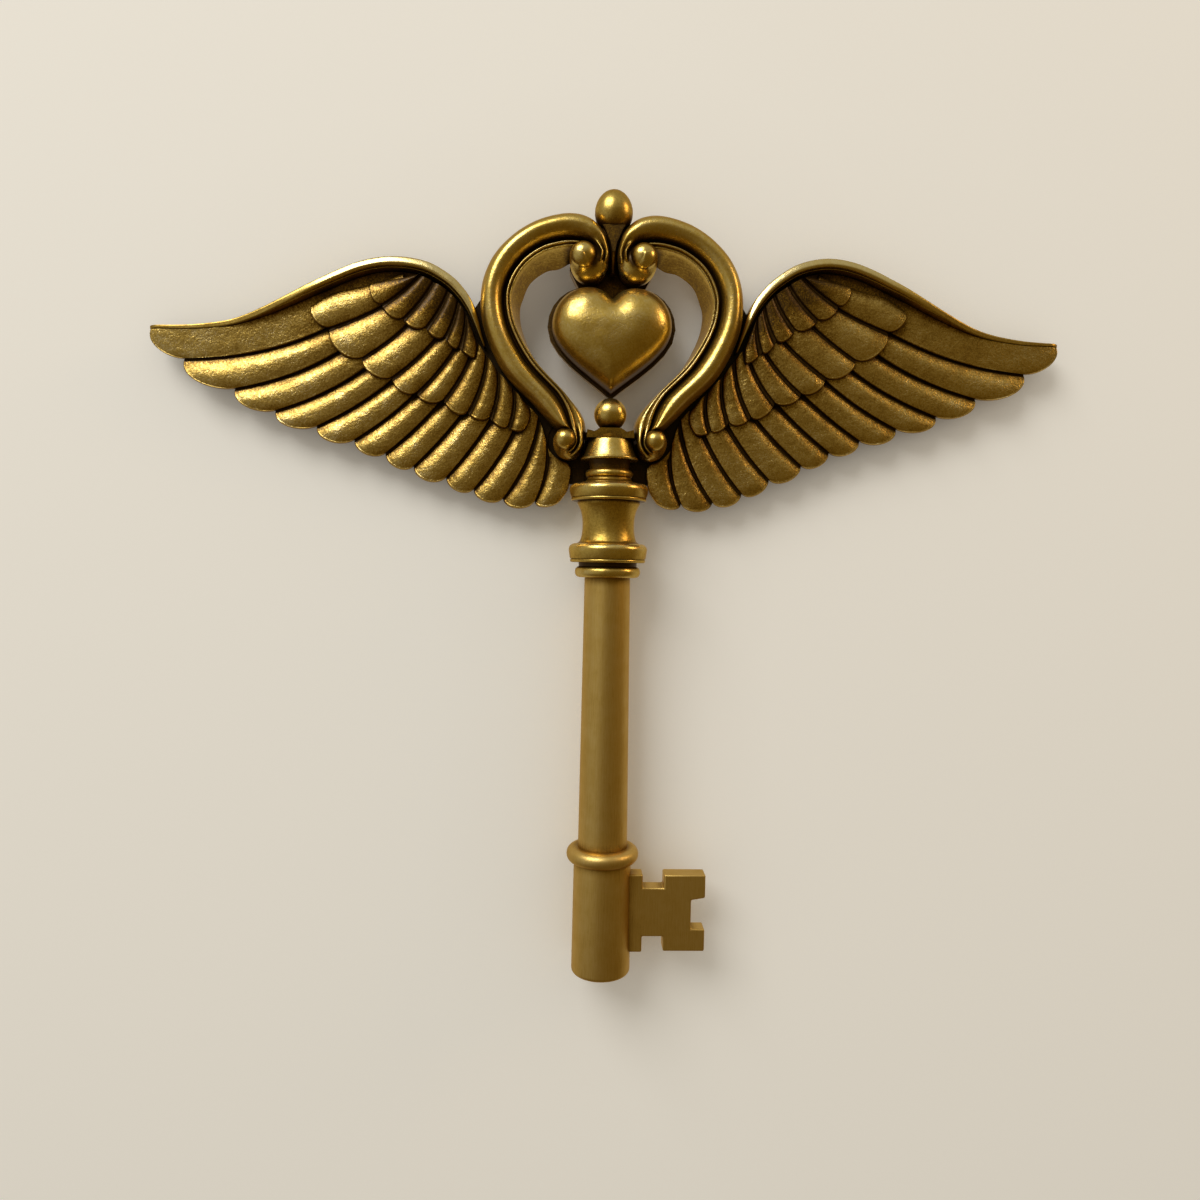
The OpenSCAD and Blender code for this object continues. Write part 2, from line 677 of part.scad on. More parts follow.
module barrel() {
    color(brushed_gold) difference() {
        turned(concat([[0, barrel_foot]],
            [for (a = [-90 : 15 : 0])
                [barrel_r - barrel_round * (1 - cos(a)), barrel_foot + barrel_round * (1 + sin(a))]],
            [[barrel_top_d / 2, barrel_top], [0, barrel_top]]));
        column_bore(shank_tenon_d + bore_clear, barrel_top + 1, barrel_top - shank_tenon_l - bore_clear);
        tenon_box(bore_clear);
        for (z = bit_pin_z)
            bar([bit_pin_x, z], bit_pin_d + bore_clear, 0, bit_pin_front + bore_clear);
    }
}

module bit() {
    foot = bit_top - bit_h;
    tab = barrel_r + 4.9;
    block = tab + ward_w;
    shoulder = 1;
    ward_z = bit_top - 10.4;
    color(brushed_gold) difference() {
        union() {
            difference() {
                slab(axis_depth - bit_t / 2, axis_depth + bit_t / 2) polygon([
                    [barrel_r - 4, bit_top], [tab, bit_top], [tab, bit_top - top_ward],
                    [block, bit_top - top_ward], [block, bit_top], [bit_reach, bit_top], [bit_reach, ward_z],
                    [bit_reach - side_ward, ward_z - shoulder], [bit_reach - side_ward, ward_z - side_ward_h],
                    [bit_reach, ward_z - side_ward_h], [bit_reach, foot], [block, foot],
                    [block, foot + bottom_ward], [tab, foot + bottom_ward], [tab, foot - shoulder / 2],
                    [barrel_r - 4, foot - shoulder / 2]]);
                translate([0, -axis_depth, barrel_foot])
                    cylinder(r = barrel_r + bore_clear / 2, h = barrel_l + 1);
            }
            tenon_box(0);
        }
        for (z = bit_pin_z)
            bar([bit_pin_x, z], bit_pin_d + bore_clear, 0, scroll_crest + axis_depth);
    }
}

module bit_pins() {
    color(steel) for (z = bit_pin_z) bar([bit_pin_x, z], bit_pin_d, bit_pin_back, bit_pin_front);
}

// The plate behind the right wing: under the rim, inside the tips, and lapped behind the scroll
wing_outline = concat(
    [for (u = [0 : 9]) rim_inner(u, -0.6 * rim_width[u])],
    [[60.2, -17.5], [55, -9.5], [49.5, -11.5], [48.2, -20], [45.5, -33], [34, -48.5], [24.5, -60],
     [24.6, -67.5], [27, -72], [27.4, -82.6], [22, -87.4], [11, -87.4], [11, -94.2], [17.9, -94.2],
     [20.2, -96.6], [25.5, -99.6]],
    [for (i = [10 : -1 : 0]) primary_notches[i] + [-0.6, 3.6]],
    spread([[197, -34]]));

module wing_plate() {
    color(dark_gold) difference() {
        slab(wing_back, scroll_back) polygon(wing_outline);
        for (at = wing_screw_at) screw_hole(at, screw_d, wing_back, wing_plate_t + 1);
    }
}

module right_wing_plate() wing_plate();
module left_wing_plate() mirror([1, 0, 0]) wing_plate();

module wing_screws() {
    color(steel) for (at = wing_screw_at) screw(at, screw_d, wing_back, wing_plate_t + screw_bite);
}

module right_wing_screws() wing_screws();
module left_wing_screws() mirror([1, 0, 0]) wing_screws();

// The half-round rim along the leading edge, lower towards both ends
module wing_rim() {
    steps = 2;
    last = len(rim_edge) - 1;
    profile = [[0, 0], [0, 0.55], [0.12, 0.85], [0.38, 1], [0.68, 0.94], [0.92, 0.72], [1, 0.45], [1, 0]];
    color(bright_gold) skin([for (k = [0 : last * steps])
        let (u = k / steps,
             w = through(rim_width, u),
             tall = (rim_front - scroll_back) * min(1, 0.44 + 0.14 * u, 0.5 + 0.2 * (last - u)))
        [for (p = profile)
            at_depth(through(rim_edge, u) - side_of(rim_edge, u) * w * p[0], scroll_back + tall * p[1])]]);
}

module right_wing_rim() wing_rim();
module left_wing_rim() mirror([1, 0, 0]) wing_rim();

// One feather's lower edge from root to notch, bowed towards the body
function feather_edge(root, notch, bow, stations) =
    let (d = notch - root, middle = (root + notch) / 2 + 2 * bow * [d[1], -d[0]])
    [for (j = [0 : stations - 1]) curve2(root, middle, notch, j / (stations - 1))];

// The edges of a row: along the rim, then between the feathers, then beside the body
function row_edges(first, roots, notches, bows, body) =
    let (count = len(notches), spans = len(roots) - 1)
    concat([first],
        [for (i = [0 : count - 1])
            feather_edge(through(roots, spans * i / count), notches[i],
                through(bows, (len(bows) - 1) * i / count), len(first))],
        [body]);

// A feather's rounded tip from its upper to its lower notch: it leaves the upper one at an angle
// to the feather's own direction, and runs on from the lower edge
function tip_curve(upper, lower, along, angle, s) =
    let (size = norm(lower - upper), across = [along[1], -along[0]])
    curve3(upper, upper + 0.36 * size * (cos(angle) * along + sin(angle) * across),
        lower + 0.42 * size * along, lower, s);

// Across a feather: place from its upper to its lower edge, and height as a share of the row's thickness
feather_section = [[0, 0.35], [0.12, 0.55], [0.38, 0.85], [0.7, 0.98], [0.9, 1], [1, 0.84]];

// A row of feathers in one piece, each lapping the next with its lower edge
module feather_row(edges, back, thick, angles) {
    count = len(edges) - 1;
    last = len(edges[0]) - 1;
    columns = [for (i = [0 : count - 1], s = feather_section)
        let (upper = edges[i][last],
             lower = edges[i + 1][last],
             end = lower - edges[i + 1][last - 1],
             lap = s[0] == 0 && i > 0 ? 0.03 : s[0],
             tip = tip_curve(upper, lower, end / norm(end), lerp(angles[0], angles[1], i / count), lap)
                 - lerp(upper, lower, lap))
        [for (j = [0 : last])
            let (t = j / last)
            [lerp(edges[i][j], edges[i + 1][j], lap) + tip * pow(t, 3),
                thick * s[1] * (1 - 0.3 * pow(t, 8))]]];
    sheet([for (c = columns) [for (p = c) at_depth(p[0], back + p[1])]],
        [for (c = columns) [for (p = c) at_depth(p[0], back)]]);
}

module primaries() {
    first = [for (j = [0 : 6]) rim_inner(lerp(4.9, 0.05, j / 6), side_gap / 2)];
    color(gold) feather_row(row_edges(first, primary_roots, primary_notches, primary_bows, primary_body),
        scroll_back, primary_t, [62, 25]);
}

module coverts() {
    first = concat([rim_inner(6.3, side_gap)],
        spread([[101, -6.6], [112, -9.8], [121.8, -12.2], [130.2, -17.6]]));
    color(gold) feather_row(row_edges(first, covert_roots, covert_notches, [0.04, 0.08], covert_body),
        primary_front, covert_t, [30, 34]);
}

module lesser_coverts() {
    first = concat([rim_inner(7, side_gap)], spread([[87.6, -4.6], [96.4, -6.4], [104.6, -8.4]]));
    color(gold) feather_row(row_edges(first, lesser_roots, lesser_notches, [0.04, 0.06], lesser_body),
        covert_front, lesser_t, [30, 36]);
}

module right_primaries() primaries();
module left_primaries() mirror([1, 0, 0]) primaries();
module right_coverts() coverts();
module left_coverts() mirror([1, 0, 0]) coverts();
module right_lesser_coverts() lesser_coverts();
module left_lesser_coverts() mirror([1, 0, 0]) lesser_coverts();

module hanger_plate() {
    foot = -12;
    corner = 2;
    color(steel) difference() {
        slab(0, hanger_t) translate([-hanger_w / 2, foot]) square([hanger_w, finial_z - 0.6 - foot]);
        bar([0, 0], hanger_hole_d, -1, hanger_t + 1);
        bar([0, hanger_drop], hanger_slot_w, -1, hanger_t + 1);
        slab(-1, hanger_t + 1) translate([-hanger_slot_w / 2, 0]) square([hanger_slot_w, hanger_drop]);
        for (z = hanger_screw_z) screw_hole([0, z], hanger_screw_d, 0, hanger_t + 1);
    }
}

module hanger_screws() {
    color(steel) for (z = hanger_screw_z) screw([0, z], hanger_screw_d, 0, hanger_t + 3.6);
}

finial_ball();
crown_block();
left_scroll();
right_scroll();
upper_left_pearl();
upper_right_pearl();
lower_left_pearl();
lower_right_pearl();
heart_front();
heart_back();
heart_screws();
crown_screws();
saddle();
saddle_screws();
heart_pearl();
flared_cup();
neck_bead();
upper_ring();
baluster();
lower_ring();
ferrule_ring();
tie_rod();
shank_plug();
shank();
barrel_ring();
barrel();
bit();
bit_pins();
left_wing_plate();
right_wing_plate();
left_wing_rim();
right_wing_rim();
left_primaries();
right_primaries();
left_coverts();
right_coverts();
left_lesser_coverts();
right_lesser_coverts();
left_wing_screws();
right_wing_screws();
hanger_plate();
hanger_screws();
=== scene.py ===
import math

import bmesh
import bpy
import numpy as np
from mathutils import Matrix, Vector, noise


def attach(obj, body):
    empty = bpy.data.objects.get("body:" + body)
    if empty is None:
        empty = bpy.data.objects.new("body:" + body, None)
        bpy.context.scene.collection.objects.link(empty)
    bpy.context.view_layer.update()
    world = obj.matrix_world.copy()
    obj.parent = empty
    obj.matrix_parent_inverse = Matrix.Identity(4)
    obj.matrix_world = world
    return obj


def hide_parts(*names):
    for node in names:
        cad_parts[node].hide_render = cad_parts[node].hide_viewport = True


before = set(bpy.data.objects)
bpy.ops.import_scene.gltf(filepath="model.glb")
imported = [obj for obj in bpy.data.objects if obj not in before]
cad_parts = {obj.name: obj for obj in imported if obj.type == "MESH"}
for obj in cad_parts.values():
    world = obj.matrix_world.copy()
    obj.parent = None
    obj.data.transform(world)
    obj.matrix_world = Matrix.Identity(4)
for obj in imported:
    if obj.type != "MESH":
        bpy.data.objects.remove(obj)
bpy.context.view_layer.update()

# Sizes are in millimetres in the part's frame, as in the CAD source. Depth is measured from the wall.
MM = 0.001
SIDES = (("right", 1), ("left", -1))
AXIS_DEPTH = 17.3

# Camera, in the part's frame
CAMERA_AT = (-15.6, -404.0, -128.5)
CAMERA_YAW, CAMERA_PITCH, CAMERA_ROLL = 1.859, 2.491, -1.019
CAMERA_LENS, CAMERA_SENSOR = 26.4, 36.0

# Light, with places and sizes in metres: the room's colour in each direction, the pale wall and two lamps
ROOM_FRONT, ROOM_LEFT, ROOM_RIGHT = (0.115, 0.077, 0.014), (0.31, 0.285, 0.22), (0.125, 0.08, 0.014)
ROOM_TOP, ROOM_FLOOR, ROOM_WALL = (0.35, 0.325, 0.25), (0.10, 0.062, 0.012), (0.30, 0.24, 0.14)
PALE, WALL_PAINT, WALL_SHINE = (0.80, 0.78, 0.74), (0.90, 0.88, 0.845), (0.80, 0.785, 0.75)
WALL_GLOW, WALL_MIRRORED, WALL_SHADE_REACH = 0.35, 0.3, 0.07
WALL_HALF, WALL_AT = 1.6, 0.0003
LIGHT_TARGET = (0, 0, -0.08)
WINDOW = {"at": (-1.07, -1.34, 1.54), "size": (1.4, 1.3), "watts": 30.0, "colour": (1.0, 0.985, 0.93)}
LAMP = {"at": (1.15, -0.25, 0.5), "size": (0.35, 0.5), "watts": 2.6, "colour": (1.0, 0.66, 0.32)}

# Volutes with their pearls (volute says what each entry means). PEARL_SEAT is a share of the scroll's depth
UPPER_VOLUTE = {"at": (10.4, -0.6), "r": 8.3, "front": 26.0, "widest": 19.5, "foot": 0.72,
                "pearl_at": (12.9, 1.4), "pearl_d": 11.4, "merge": 7.0, "merge_deg": -40}
LOWER_VOLUTE = {"at": (17.9, -77.4), "r": 6.7, "front": 21.6, "widest": 15.6, "foot": 1.0,
                "pearl_at": (19.3, -76.1), "pearl_d": 9.4, "merge": 6.0, "merge_deg": -20}
PEARL_SEAT, PEARL_SUNK = 0.62, 1.4

# Scroll: its edges from the upper curl to the lower one, and how much wider it is at its back
SCROLL_BACK, SCROLL_DEPTH = 9.0, 18.0
SCROLL_OUTER = [
    (10.6, -8), (4.5, -5.3), (1.5, 1.2), (1.9, 7), (4.6, 13.6), (11, 19), (20.5, 20.3), (33.4, 16.8),
    (44.3, 9.7), (52.4, 0), (56.5, -13), (55.3, -29), (47, -46.8), (33.5, -60.6), (23.8, -70.2),
    (17.4, -72.6), (15.2, -76.8), (17.3, -80.4), (21.2, -80.8)]
SCROLL_INNER = [
    (10.8, -3.9), (9.5, -0.5), (9, 2), (10.5, 4), (12.5, 5), (16.5, 5.2), (22.5, 4.6), (30, 2.2),
    (37.3, -3.4), (41.6, -10.6), (43, -18.4), (40.4, -29.2), (32.3, -42.8), (20, -55.6), (12.5, -65.2),
    (10.7, -72.2), (11.7, -79.4), (16.0, -83.5), (21.4, -83.0)]
SCROLL_DRAFT = [0.03] * 4 + [0.05, 0.13, 0.28, 0.24, 0.22, 0.24, 0.19, 0.12] + [0.05] * 3 + [0.03] * 4
# Its sections: place across from the outer to the inner edge, height as a share of the depth, and darkness,
# which paints wax and shade in the grooves and, below 0, a painted highlight on the ridges
BAND_MOULDING = [
    (0, 0, 0.7), (-0.02, 0.25, 0.35), (-0.03, 0.45, 0.2), (0.03, 0.68, 0.1), (0.12, 0.86, 0.03),
    (0.22, 0.96, 0), (0.34, 1, 0), (0.46, 0.985, 0), (0.56, 0.93, 0.02), (0.64, 0.84, 0.08),
    (0.7, 0.72, 0.3), (0.735, 0.64, 0.9), (0.765, 0.64, 0.9), (0.79, 0.72, 0.3), (0.815, 0.79, -0.15),
    (0.86, 0.8, -0.15), (0.89, 0.755, 0.4), (0.91, 0.75, 0.3), (0.945, 0.765, -0.1), (0.975, 0.71, 0.05),
    (1, 0.55, 0.3)]
UPPER_CURL_MOULDING = [
    (0, 0, 0.8), (0, 0.3, 0.5), (0.01, 0.5, 0.3), (0.06, 0.7, 0.15), (0.13, 0.82, 0.05), (0.21, 0.87, 0),
    (0.28, 0.85, 0.1), (0.33, 0.82, 0.5), (0.38, 0.88, 0.1), (0.44, 0.99, 0), (0.5, 0.99, 0),
    (0.55, 0.84, 0.3), (0.58, 0.64, 0.7), (0.63, 0.52, 0.8), (0.68, 0.48, 0.8), (0.74, 0.46, 0.8),
    (0.8, 0.45, 0.8), (0.86, 0.44, 0.8), (0.92, 0.43, 0.8), (0.96, 0.42, 0.8), (1, 0.41, 0.8)]
LOWER_CURL_MOULDING = [(0, h, 1) for h in (0, 0.1, 0.2, 0.25, 0.3, 0.33, 0.36, 0.38, 0.4)] + [
    (0, 0.42, 0.9), (0.01, 0.45, 0.9), (0.02, 0.5, 0.8), (0.03, 0.58, 0.5), (0.06, 0.74, 0.1),
    (0.11, 0.85, 0), (0.24, 0.84, 0), (0.34, 0.72, 0.7), (0.4, 0.74, 0.5), (0.58, 0.86, 0),
    (0.82, 0.78, 0.1), (1, 0.4, 0.5)]
# Where one section gives way to the next: the knot where that starts, and the number of knots that it takes
UPPER_CURL_ENDS, LOWER_CURL_STARTS, LOWER_CURL_RISES = (2.2, 2.4), (12.8, 3.0), (14.3, 1.5)
OVERHANG_STARTS, OVERHANG_ENDS = (3.5, 1.5), (9, 2)
# Height at the band's ends as a share of its own with the gain for each knot, and where its inner part is
UPPER_END, LOWER_END, LOWER_END_INSIDE, INNER_PART = (0.4, 0.35), (0.55, 0.4), (0.4, 0.35), (0.25, 0.2)

# Heart: the right half's outline as three joined Bezier curves from the cleft to the tip, and the painted
# shade along its lower part
HEART_BASE, HEART_HEIGHT, HEART_MIDDLE = 15.0, 18.0, (0, -30.0)
HEART_EDGE, HEART_LOW = 0.1, (24, 16)
HEART_CURVES = [
    (0, -15.4), (2.2, -12.6), (5.5, -10.7), (10, -10.7), (18.5, -10.7), (26, -17.5), (26, -27), (26, -38),
    (10.5, -47), (0, -55.6)]

# Column: heights of the joints, and sizes of the turned pieces
FINIAL_FOOT, FINIAL_H, FINIAL_D = 15.2, 16.5, 16.4
HEART_PEARL_Z, HEART_PEARL_D = -64.4, 14.2
SADDLE_TOP, CUP_TOP, NECK_TOP, UPPER_RING_TOP = -71.0, -75.2, -84.4, -94.6
RING_D, RING_H, LOWER_RING_H, RING_SHOULDER_R, RING_LIP_R = 34.4, 7.6, 8.3, 2.6, 0.8
BALUSTER_TOP = UPPER_RING_TOP - RING_H
LOWER_RING_TOP = BALUSTER_TOP - 18.4
FERRULE_TOP = LOWER_RING_TOP - RING_H - 2.3
FERRULE_H, FERRULE_R, FERRULE_STEP_R = 4.9, 14.35, 12.75
SHANK_TOP = FERRULE_TOP - FERRULE_H
BARREL_TOP = SHANK_TOP - 126.1
BARREL_FOOT = BARREL_TOP - 49.9
BARREL_RING_H, BARREL_RING_R = 6.9, 16
CUP_R, CUP_FLARE_R, CUP_SHOULDER_R, CUP_FOOT_H, CUP_SHOULDER_H = 12.6, (12.0, 10.2), (9.9, 9.1), 1.1, 3.6
NECK_FLARE_R, BEAD_R, BEAD_SECTION_R, BEAD_SHARE = (12.3, 9.6), 8.4, 2.0, 0.42
BALUSTER_WAIST_R, BALUSTER_END_R = 11.3, 13.7
SHANK_TOP_R, SHANK_FOOT_R, BARREL_TOP_R, BARREL_R = 10, 11, 12.7, 13.1

# Strip on the crown block, with its half width and its front at its foot and at its top
STRIP_FOOT, STRIP_HALF_W, STRIP_FRONT, STRIP_BACK, STRIP_ROUND = -3.5, (1.3, 5.6), (17.5, 22.5), 12.0, 2.6

# Saddle, and the plates behind the lower volutes, whose dark finish paints the shade beside the neck
SEAT_R = (9.1, 5.2)
BRACKET = [
    (-10.2, CUP_TOP), (10.2, CUP_TOP), (10.0, -71.8), (7.0, -72.6), (4.5, SADDLE_TOP),
    (-4.5, SADDLE_TOP), (-7.0, -72.6), (-10.0, -71.8)]
BRACKET_FRONT, BRACKET_BACK, SADDLE_BACK = AXIS_DEPTH + 7, 8.0, 5.0
EYE_R = 6.0
LAP = [(2, -80), (14, -71), (25, -62), (37, -60), (30, -85), (24, -88), (12, -88), (12, -94), (2, -94)]
LAP_FRONT, LAP_BACK = 8.4, 5.3

# Bit
BIT_TOP, BIT_FOOT, BIT_TAB_FOOT = BARREL_TOP - 5, BARREL_TOP - 39.4, BARREL_TOP - 39.9
BIT_ROOT, BIT_TAB, BIT_BLOCK, BIT_REACH, BIT_HALF_T = 9.1, 18.0, 27.4, 45.9, 4.15
WARD_TOP, WARD_FOOT, WARD_DEPTH = BARREL_TOP - 15.4, BARREL_TOP - 29.4, 6.2
TOP_NOTCH, FOOT_NOTCH = 6.0, 6.6
BIT_SOFTENING = 0.7

# Wings
WING_BACK, WING_REACH, WING_SWAY = 9.0, 200.95, 2.2
RIM_FRONT, RIM_GAP = 18.5, 0.4
RIM_EDGE = [
    (201, -28.3), (183, -27.5), (165, -24.5), (149, -18.3), (129, -8.2), (110, 0.6), (95, 3.4),
    (81, 1.2), (70.3, -5), (63.7, -11.8), (59.8, -18.5), (57.7, -25), (56.3, -30.5), (55, -35.2)]
RIM_WIDTH = [1.4, 2, 2.6, 3.3, 4.2, 4.8, 5, 5, 4.8, 4.5, 3.8, 2.8, 1.8, 1]
# Sections of the rim, as on the scroll, with a painted highlight on the broad band and painted shade at its
# edges, and its heights where it lies flush with the first feather
RIM_MOULDING = [
    (0, 0, 0.5), (0, 0.5, 0.2), (0.02, 0.8, 0), (0.06, 0.88, -0.1), (0.14, 0.915, -0.2),
    (0.28, 0.945, -0.2), (0.42, 0.97, -0.2), (0.56, 0.985, -0.15), (0.68, 0.97, -0.1), (0.77, 0.91, 0),
    (0.82, 0.83, 0.25), (0.85, 0.79, 0.4), (0.89, 0.81, 0.1), (0.93, 0.78, 0.1), (0.97, 0.62, 0.3),
    (1, 0.3, 0.6), (1, 0, 0.8)]
RIM_FLUSH = [0, 0.6, 0.88, 0.95, 0.98, 1, 1, 1, 1, 1, 0.99, 0.98, 0.97, 0.96, 0.95, 0.93, 0]

# Rows of feathers, from the wall forward (feather_row says what each entry means)
ROWS = {
    "primaries": {
        "back": WING_BACK, "thick": 3.2, "along": 110, "across": 12, "deep": 0.12, "drop": 0.3, "seed": 11.0,
        "roots": [(104, -13.5), (89, -30), (69, -41.5), (49, -50.6), (32.3, -63.8), (26.2, -83)],
        "notches": [(186.4, -42), (164.6, -54), (147, -62.8), (129, -69), (112.5, -74.6), (98.8, -80.2),
                    (86.4, -86), (72, -91.5), (59.8, -97.2), (46.8, -101.2), (32.6, -102)],
        "body": [(26.2, -83), (21.8, -84), (18.0, -85.2), (16.5, -88.2), (17.0, -92.6), (18.0, -97.0),
                 (21.0, -101.4)],
        "bows": (0.08, 0.04, 0.085), "turns": (62, 25)},
    "coverts": {
        "back": 12.2, "thick": 2.6, "along": 70, "across": 10, "deep": 0.14, "drop": 0.5, "seed": 17.0,
        "roots": [(90, -10.5), (69, -21.5), (59.4, -32.6), (49.8, -45.6), (37.4, -59)],
        "notches": [(122.4, -26.5), (108.3, -39), (95.4, -47.2), (84.6, -54), (73, -57.6), (62.5, -63.4),
                    (52.8, -65.6), (44.7, -69.4)],
        "body": [(37.4, -59), (35.4, -62), (34.9, -65), (35.6, -68), (37.2, -70.6)],
        "bows": (0.04, 0.08), "turns": (30, 34),
        "contour": [(101, -6.6), (112, -9.8), (121.8, -12.2), (130.2, -17.6)], "leaves_rim_at": 6.3},
    "lesser_coverts": {
        "back": 14.8, "thick": 2.3, "along": 54, "across": 9, "deep": 0.72, "drop": 0.5, "seed": 23.0,
        "roots": [(84, -4.5), (73.2, -10.2), (65.8, -18), (61.8, -25.4)],
        "notches": [(99.2, -16.4), (90.2, -22.2), (80.6, -26.4), (72.6, -31), (66.4, -35.8)],
        "body": [(61.8, -25.4), (59.8, -31), (58.6, -35.4), (59, -39.6)],
        "bows": (0.04, 0.06), "turns": (30, 36),
        "contour": [(87.6, -4.6), (96.4, -6.4), (104.6, -8.4)], "leaves_rim_at": 7.0},
}
# Across a feather wider than FULL_W: the dark channel above it, which PARTING widens towards the tip, its
# rounded wall and its thin lower edge
CHANNEL_W, PARTING, FULL_W, WALL_R, EDGE_R = 0.85, 5.5, 4.5, 0.45, 0.75
CHANNEL_PLACES = np.array([0, 0.5, 0.92, 1, 1, 1, 1])[:, None]
WALL_PLACES = np.array([0, 0, 0, 0.03, 0.12, 0.32, 0.7])[:, None]
EDGE_PLACES = np.array([0.9, 0.55, 0.3, 0.12, 0.03, 0])[:, None]
# Heights as a share of the row's thickness: the channel's floor, the blade's upper edge, tip and thin lip
FLOOR, SHOULDER, TIP_FALL, LIP = 0.08, 0.42, 0.28, 0.06
# The crest's place as a share of the width, and how far in the lip lies with its own width
CREST, LIP_IN, LIP_W = 0.48, 0.6, 0.28


# Curves

def lerp(a, b, t):
    return a + (b - a) * t


def smooth(t):
    t = np.clip(t, 0, 1)
    return t * t * (3 - 2 * t)


def change(u, span):
    """Goes smoothly from 0 to 1 over a span, given as its start and its length."""
    return smooth((u - span[0]) / span[1])


def through(knots, u):
    """Points of a smooth curve through the knots. u runs from 0 to the number of knots less one."""
    knots = np.asarray(knots, float)
    last = len(knots) - 1
    u = np.asarray(u, float)
    i = np.clip(np.floor(u).astype(int), 0, last - 1)
    t = (u - i) if knots.ndim == 1 else (u - i)[..., None]
    a, b = knots[np.maximum(i - 1, 0)], knots[i]
    c, d = knots[i + 1], knots[np.minimum(i + 2, last)]
    return 0.5 * (2 * b + (c - a) * t + (2 * a - 5 * b + 4 * c - d) * t ** 2
                  + (3 * b - a - 3 * c + d) * t ** 3)


def bezier(points, t):
    """A Bezier curve of any degree at the places t."""
    points = [np.asarray(p, float) + np.zeros((len(t), 2)) for p in points]
    while len(points) > 1:
        points = [lerp(a, b, t[:, None]) for a, b in zip(points, points[1:])]
    return points[0]


def circle(turns):
    """Angles round a circle, and the point of radius 1 at each."""
    angle = np.linspace(0, 2 * math.pi, turns, endpoint=False)
    return angle, np.stack([np.cos(angle), np.sin(angle)], -1)


def arc(centre, r, start, end, count):
    """Points on an arc between two angles in degrees."""
    angle = np.radians(np.linspace(start, end, count))
    return [(centre[0] + r * math.cos(a), centre[1] + r * math.sin(a)) for a in angle]


def at_depth(flat, depth):
    """Outline points (x, z) brought to their depth from the wall."""
    flat = np.asarray(flat, float)
    depth = np.zeros(flat.shape[:-1]) + depth
    return np.stack([flat[..., 0], -depth, flat[..., 1]], axis=-1)


def side_of(knots, u):
    """The direction square to a curve through the knots."""
    ahead = through(knots, np.minimum(u + 0.01, len(knots) - 1))
    behind = through(knots, np.maximum(u - 0.01, 0))
    d = (ahead - behind) / np.linalg.norm(ahead - behind, axis=-1, keepdims=True)
    return np.stack([d[..., 1], -d[..., 0]], axis=-1)


def rim_inner(u, gap):
    """The rim's inner edge, a gap further in."""
    u = np.asarray(u, float)
    return through(RIM_EDGE, u) - side_of(RIM_EDGE, u) * (through(RIM_WIDTH, u) + gap)[..., None]


# Mesh building

def ring_faces(rings, count):
    """Quads between rings of count points each, closed round, with a face at both ends."""
    k = np.arange(count)
    n = np.roll(k, -1)
    quads = [np.stack([r * count + k, r * count + n, (r + 1) * count + n, (r + 1) * count + k], 1)
             for r in range(rings - 1)]
    ends = [list(range(count)), list(range((rings - 1) * count, rings * count))[::-1]]
    return np.concatenate(quads).tolist() + ends


def shell(front, back_depth):
    """Points and faces of a closed piece from a front grid to a flat back, and the back's point count."""
    rows, columns = front.shape[:2]
    index = np.arange(rows * columns).reshape(rows, columns)
    quads = np.stack([index[:-1, :-1], index[1:, :-1], index[1:, 1:], index[:-1, 1:]], -1).reshape(-1, 4)
    edge = np.concatenate([index[:-1, 0], index[-1, :-1], index[:0:-1, -1], index[0, :0:-1]])
    points = front.reshape(-1, 3)
    skirt = points[edge].copy()
    skirt[:, 1] = -back_depth
    below = np.arange(len(edge)) + rows * columns
    sides = np.stack([edge, np.roll(edge, -1), np.roll(below, -1), below], 1)
    faces = quads.tolist() + sides.tolist() + [below[::-1].tolist()]
    return np.concatenate([points, skirt]), faces, len(edge)


def add_object(name, data):
    thing = bpy.data.objects.new(name, data)
    bpy.context.scene.collection.objects.link(thing)
    return thing


def add_piece(name, points, faces, finish, replaced, wax_and_painted_shade=None, sharp_deg=38):
    """A piece from points in millimetres. The darkness given at each point paints wax in its recesses and
    painted shade, and a painted highlight where it is below 0.
    """
    mesh = bpy.data.meshes.new(name)
    mesh.from_pydata((np.asarray(points) * MM).tolist(), [], faces)
    shade = mesh.attributes.new("wax_and_painted_shade", "FLOAT", "POINT")
    wax_and_painted_shade = np.zeros(len(points)) if wax_and_painted_shade is None else np.asarray(wax_and_painted_shade, float)
    shade.data.foreach_set("value", wax_and_painted_shade.ravel())
    work = bmesh.new()
    work.from_mesh(mesh)
    bmesh.ops.recalc_face_normals(work, faces=work.faces)
    work.to_mesh(mesh)
    work.free()
    mesh.polygons.foreach_set("use_smooth", [True] * len(mesh.polygons))
    mesh.set_sharp_from_angle(angle=math.radians(sharp_deg))
    mesh.materials.append(MATERIALS[finish])
    piece = add_object(name, mesh)
    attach(piece, "root")
    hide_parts(replaced)
    return piece


def cad_mesh(name):
    """Points in millimetres and faces of a CAD node."""
    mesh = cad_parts[name].data
    points = np.empty(len(mesh.vertices) * 3)
    mesh.vertices.foreach_get("co", points)
    return (points.reshape(-1, 3) / MM).tolist(), [list(face.vertices) for face in mesh.polygons]


def add_block(points, faces, outline, front, back):
    """Adds an outline (x, z) between two depths to points and faces."""
    first, n = len(points), len(outline)
    points.extend(at_depth(outline, front).tolist())
    points.extend(at_depth(outline, back).tolist())
    faces.append(list(range(first, first + n)))
    faces.append(list(range(first + n, first + 2 * n))[::-1])
    for i in range(n):
        j = (i + 1) % n
        faces.append([first + i, first + j, first + n + j, first + n + i])


def on_side(points, side):
    """The right-hand points as they are, or mirrored for the left side."""
    points = np.array(points, float)
    points[..., 0] *= side
    return points


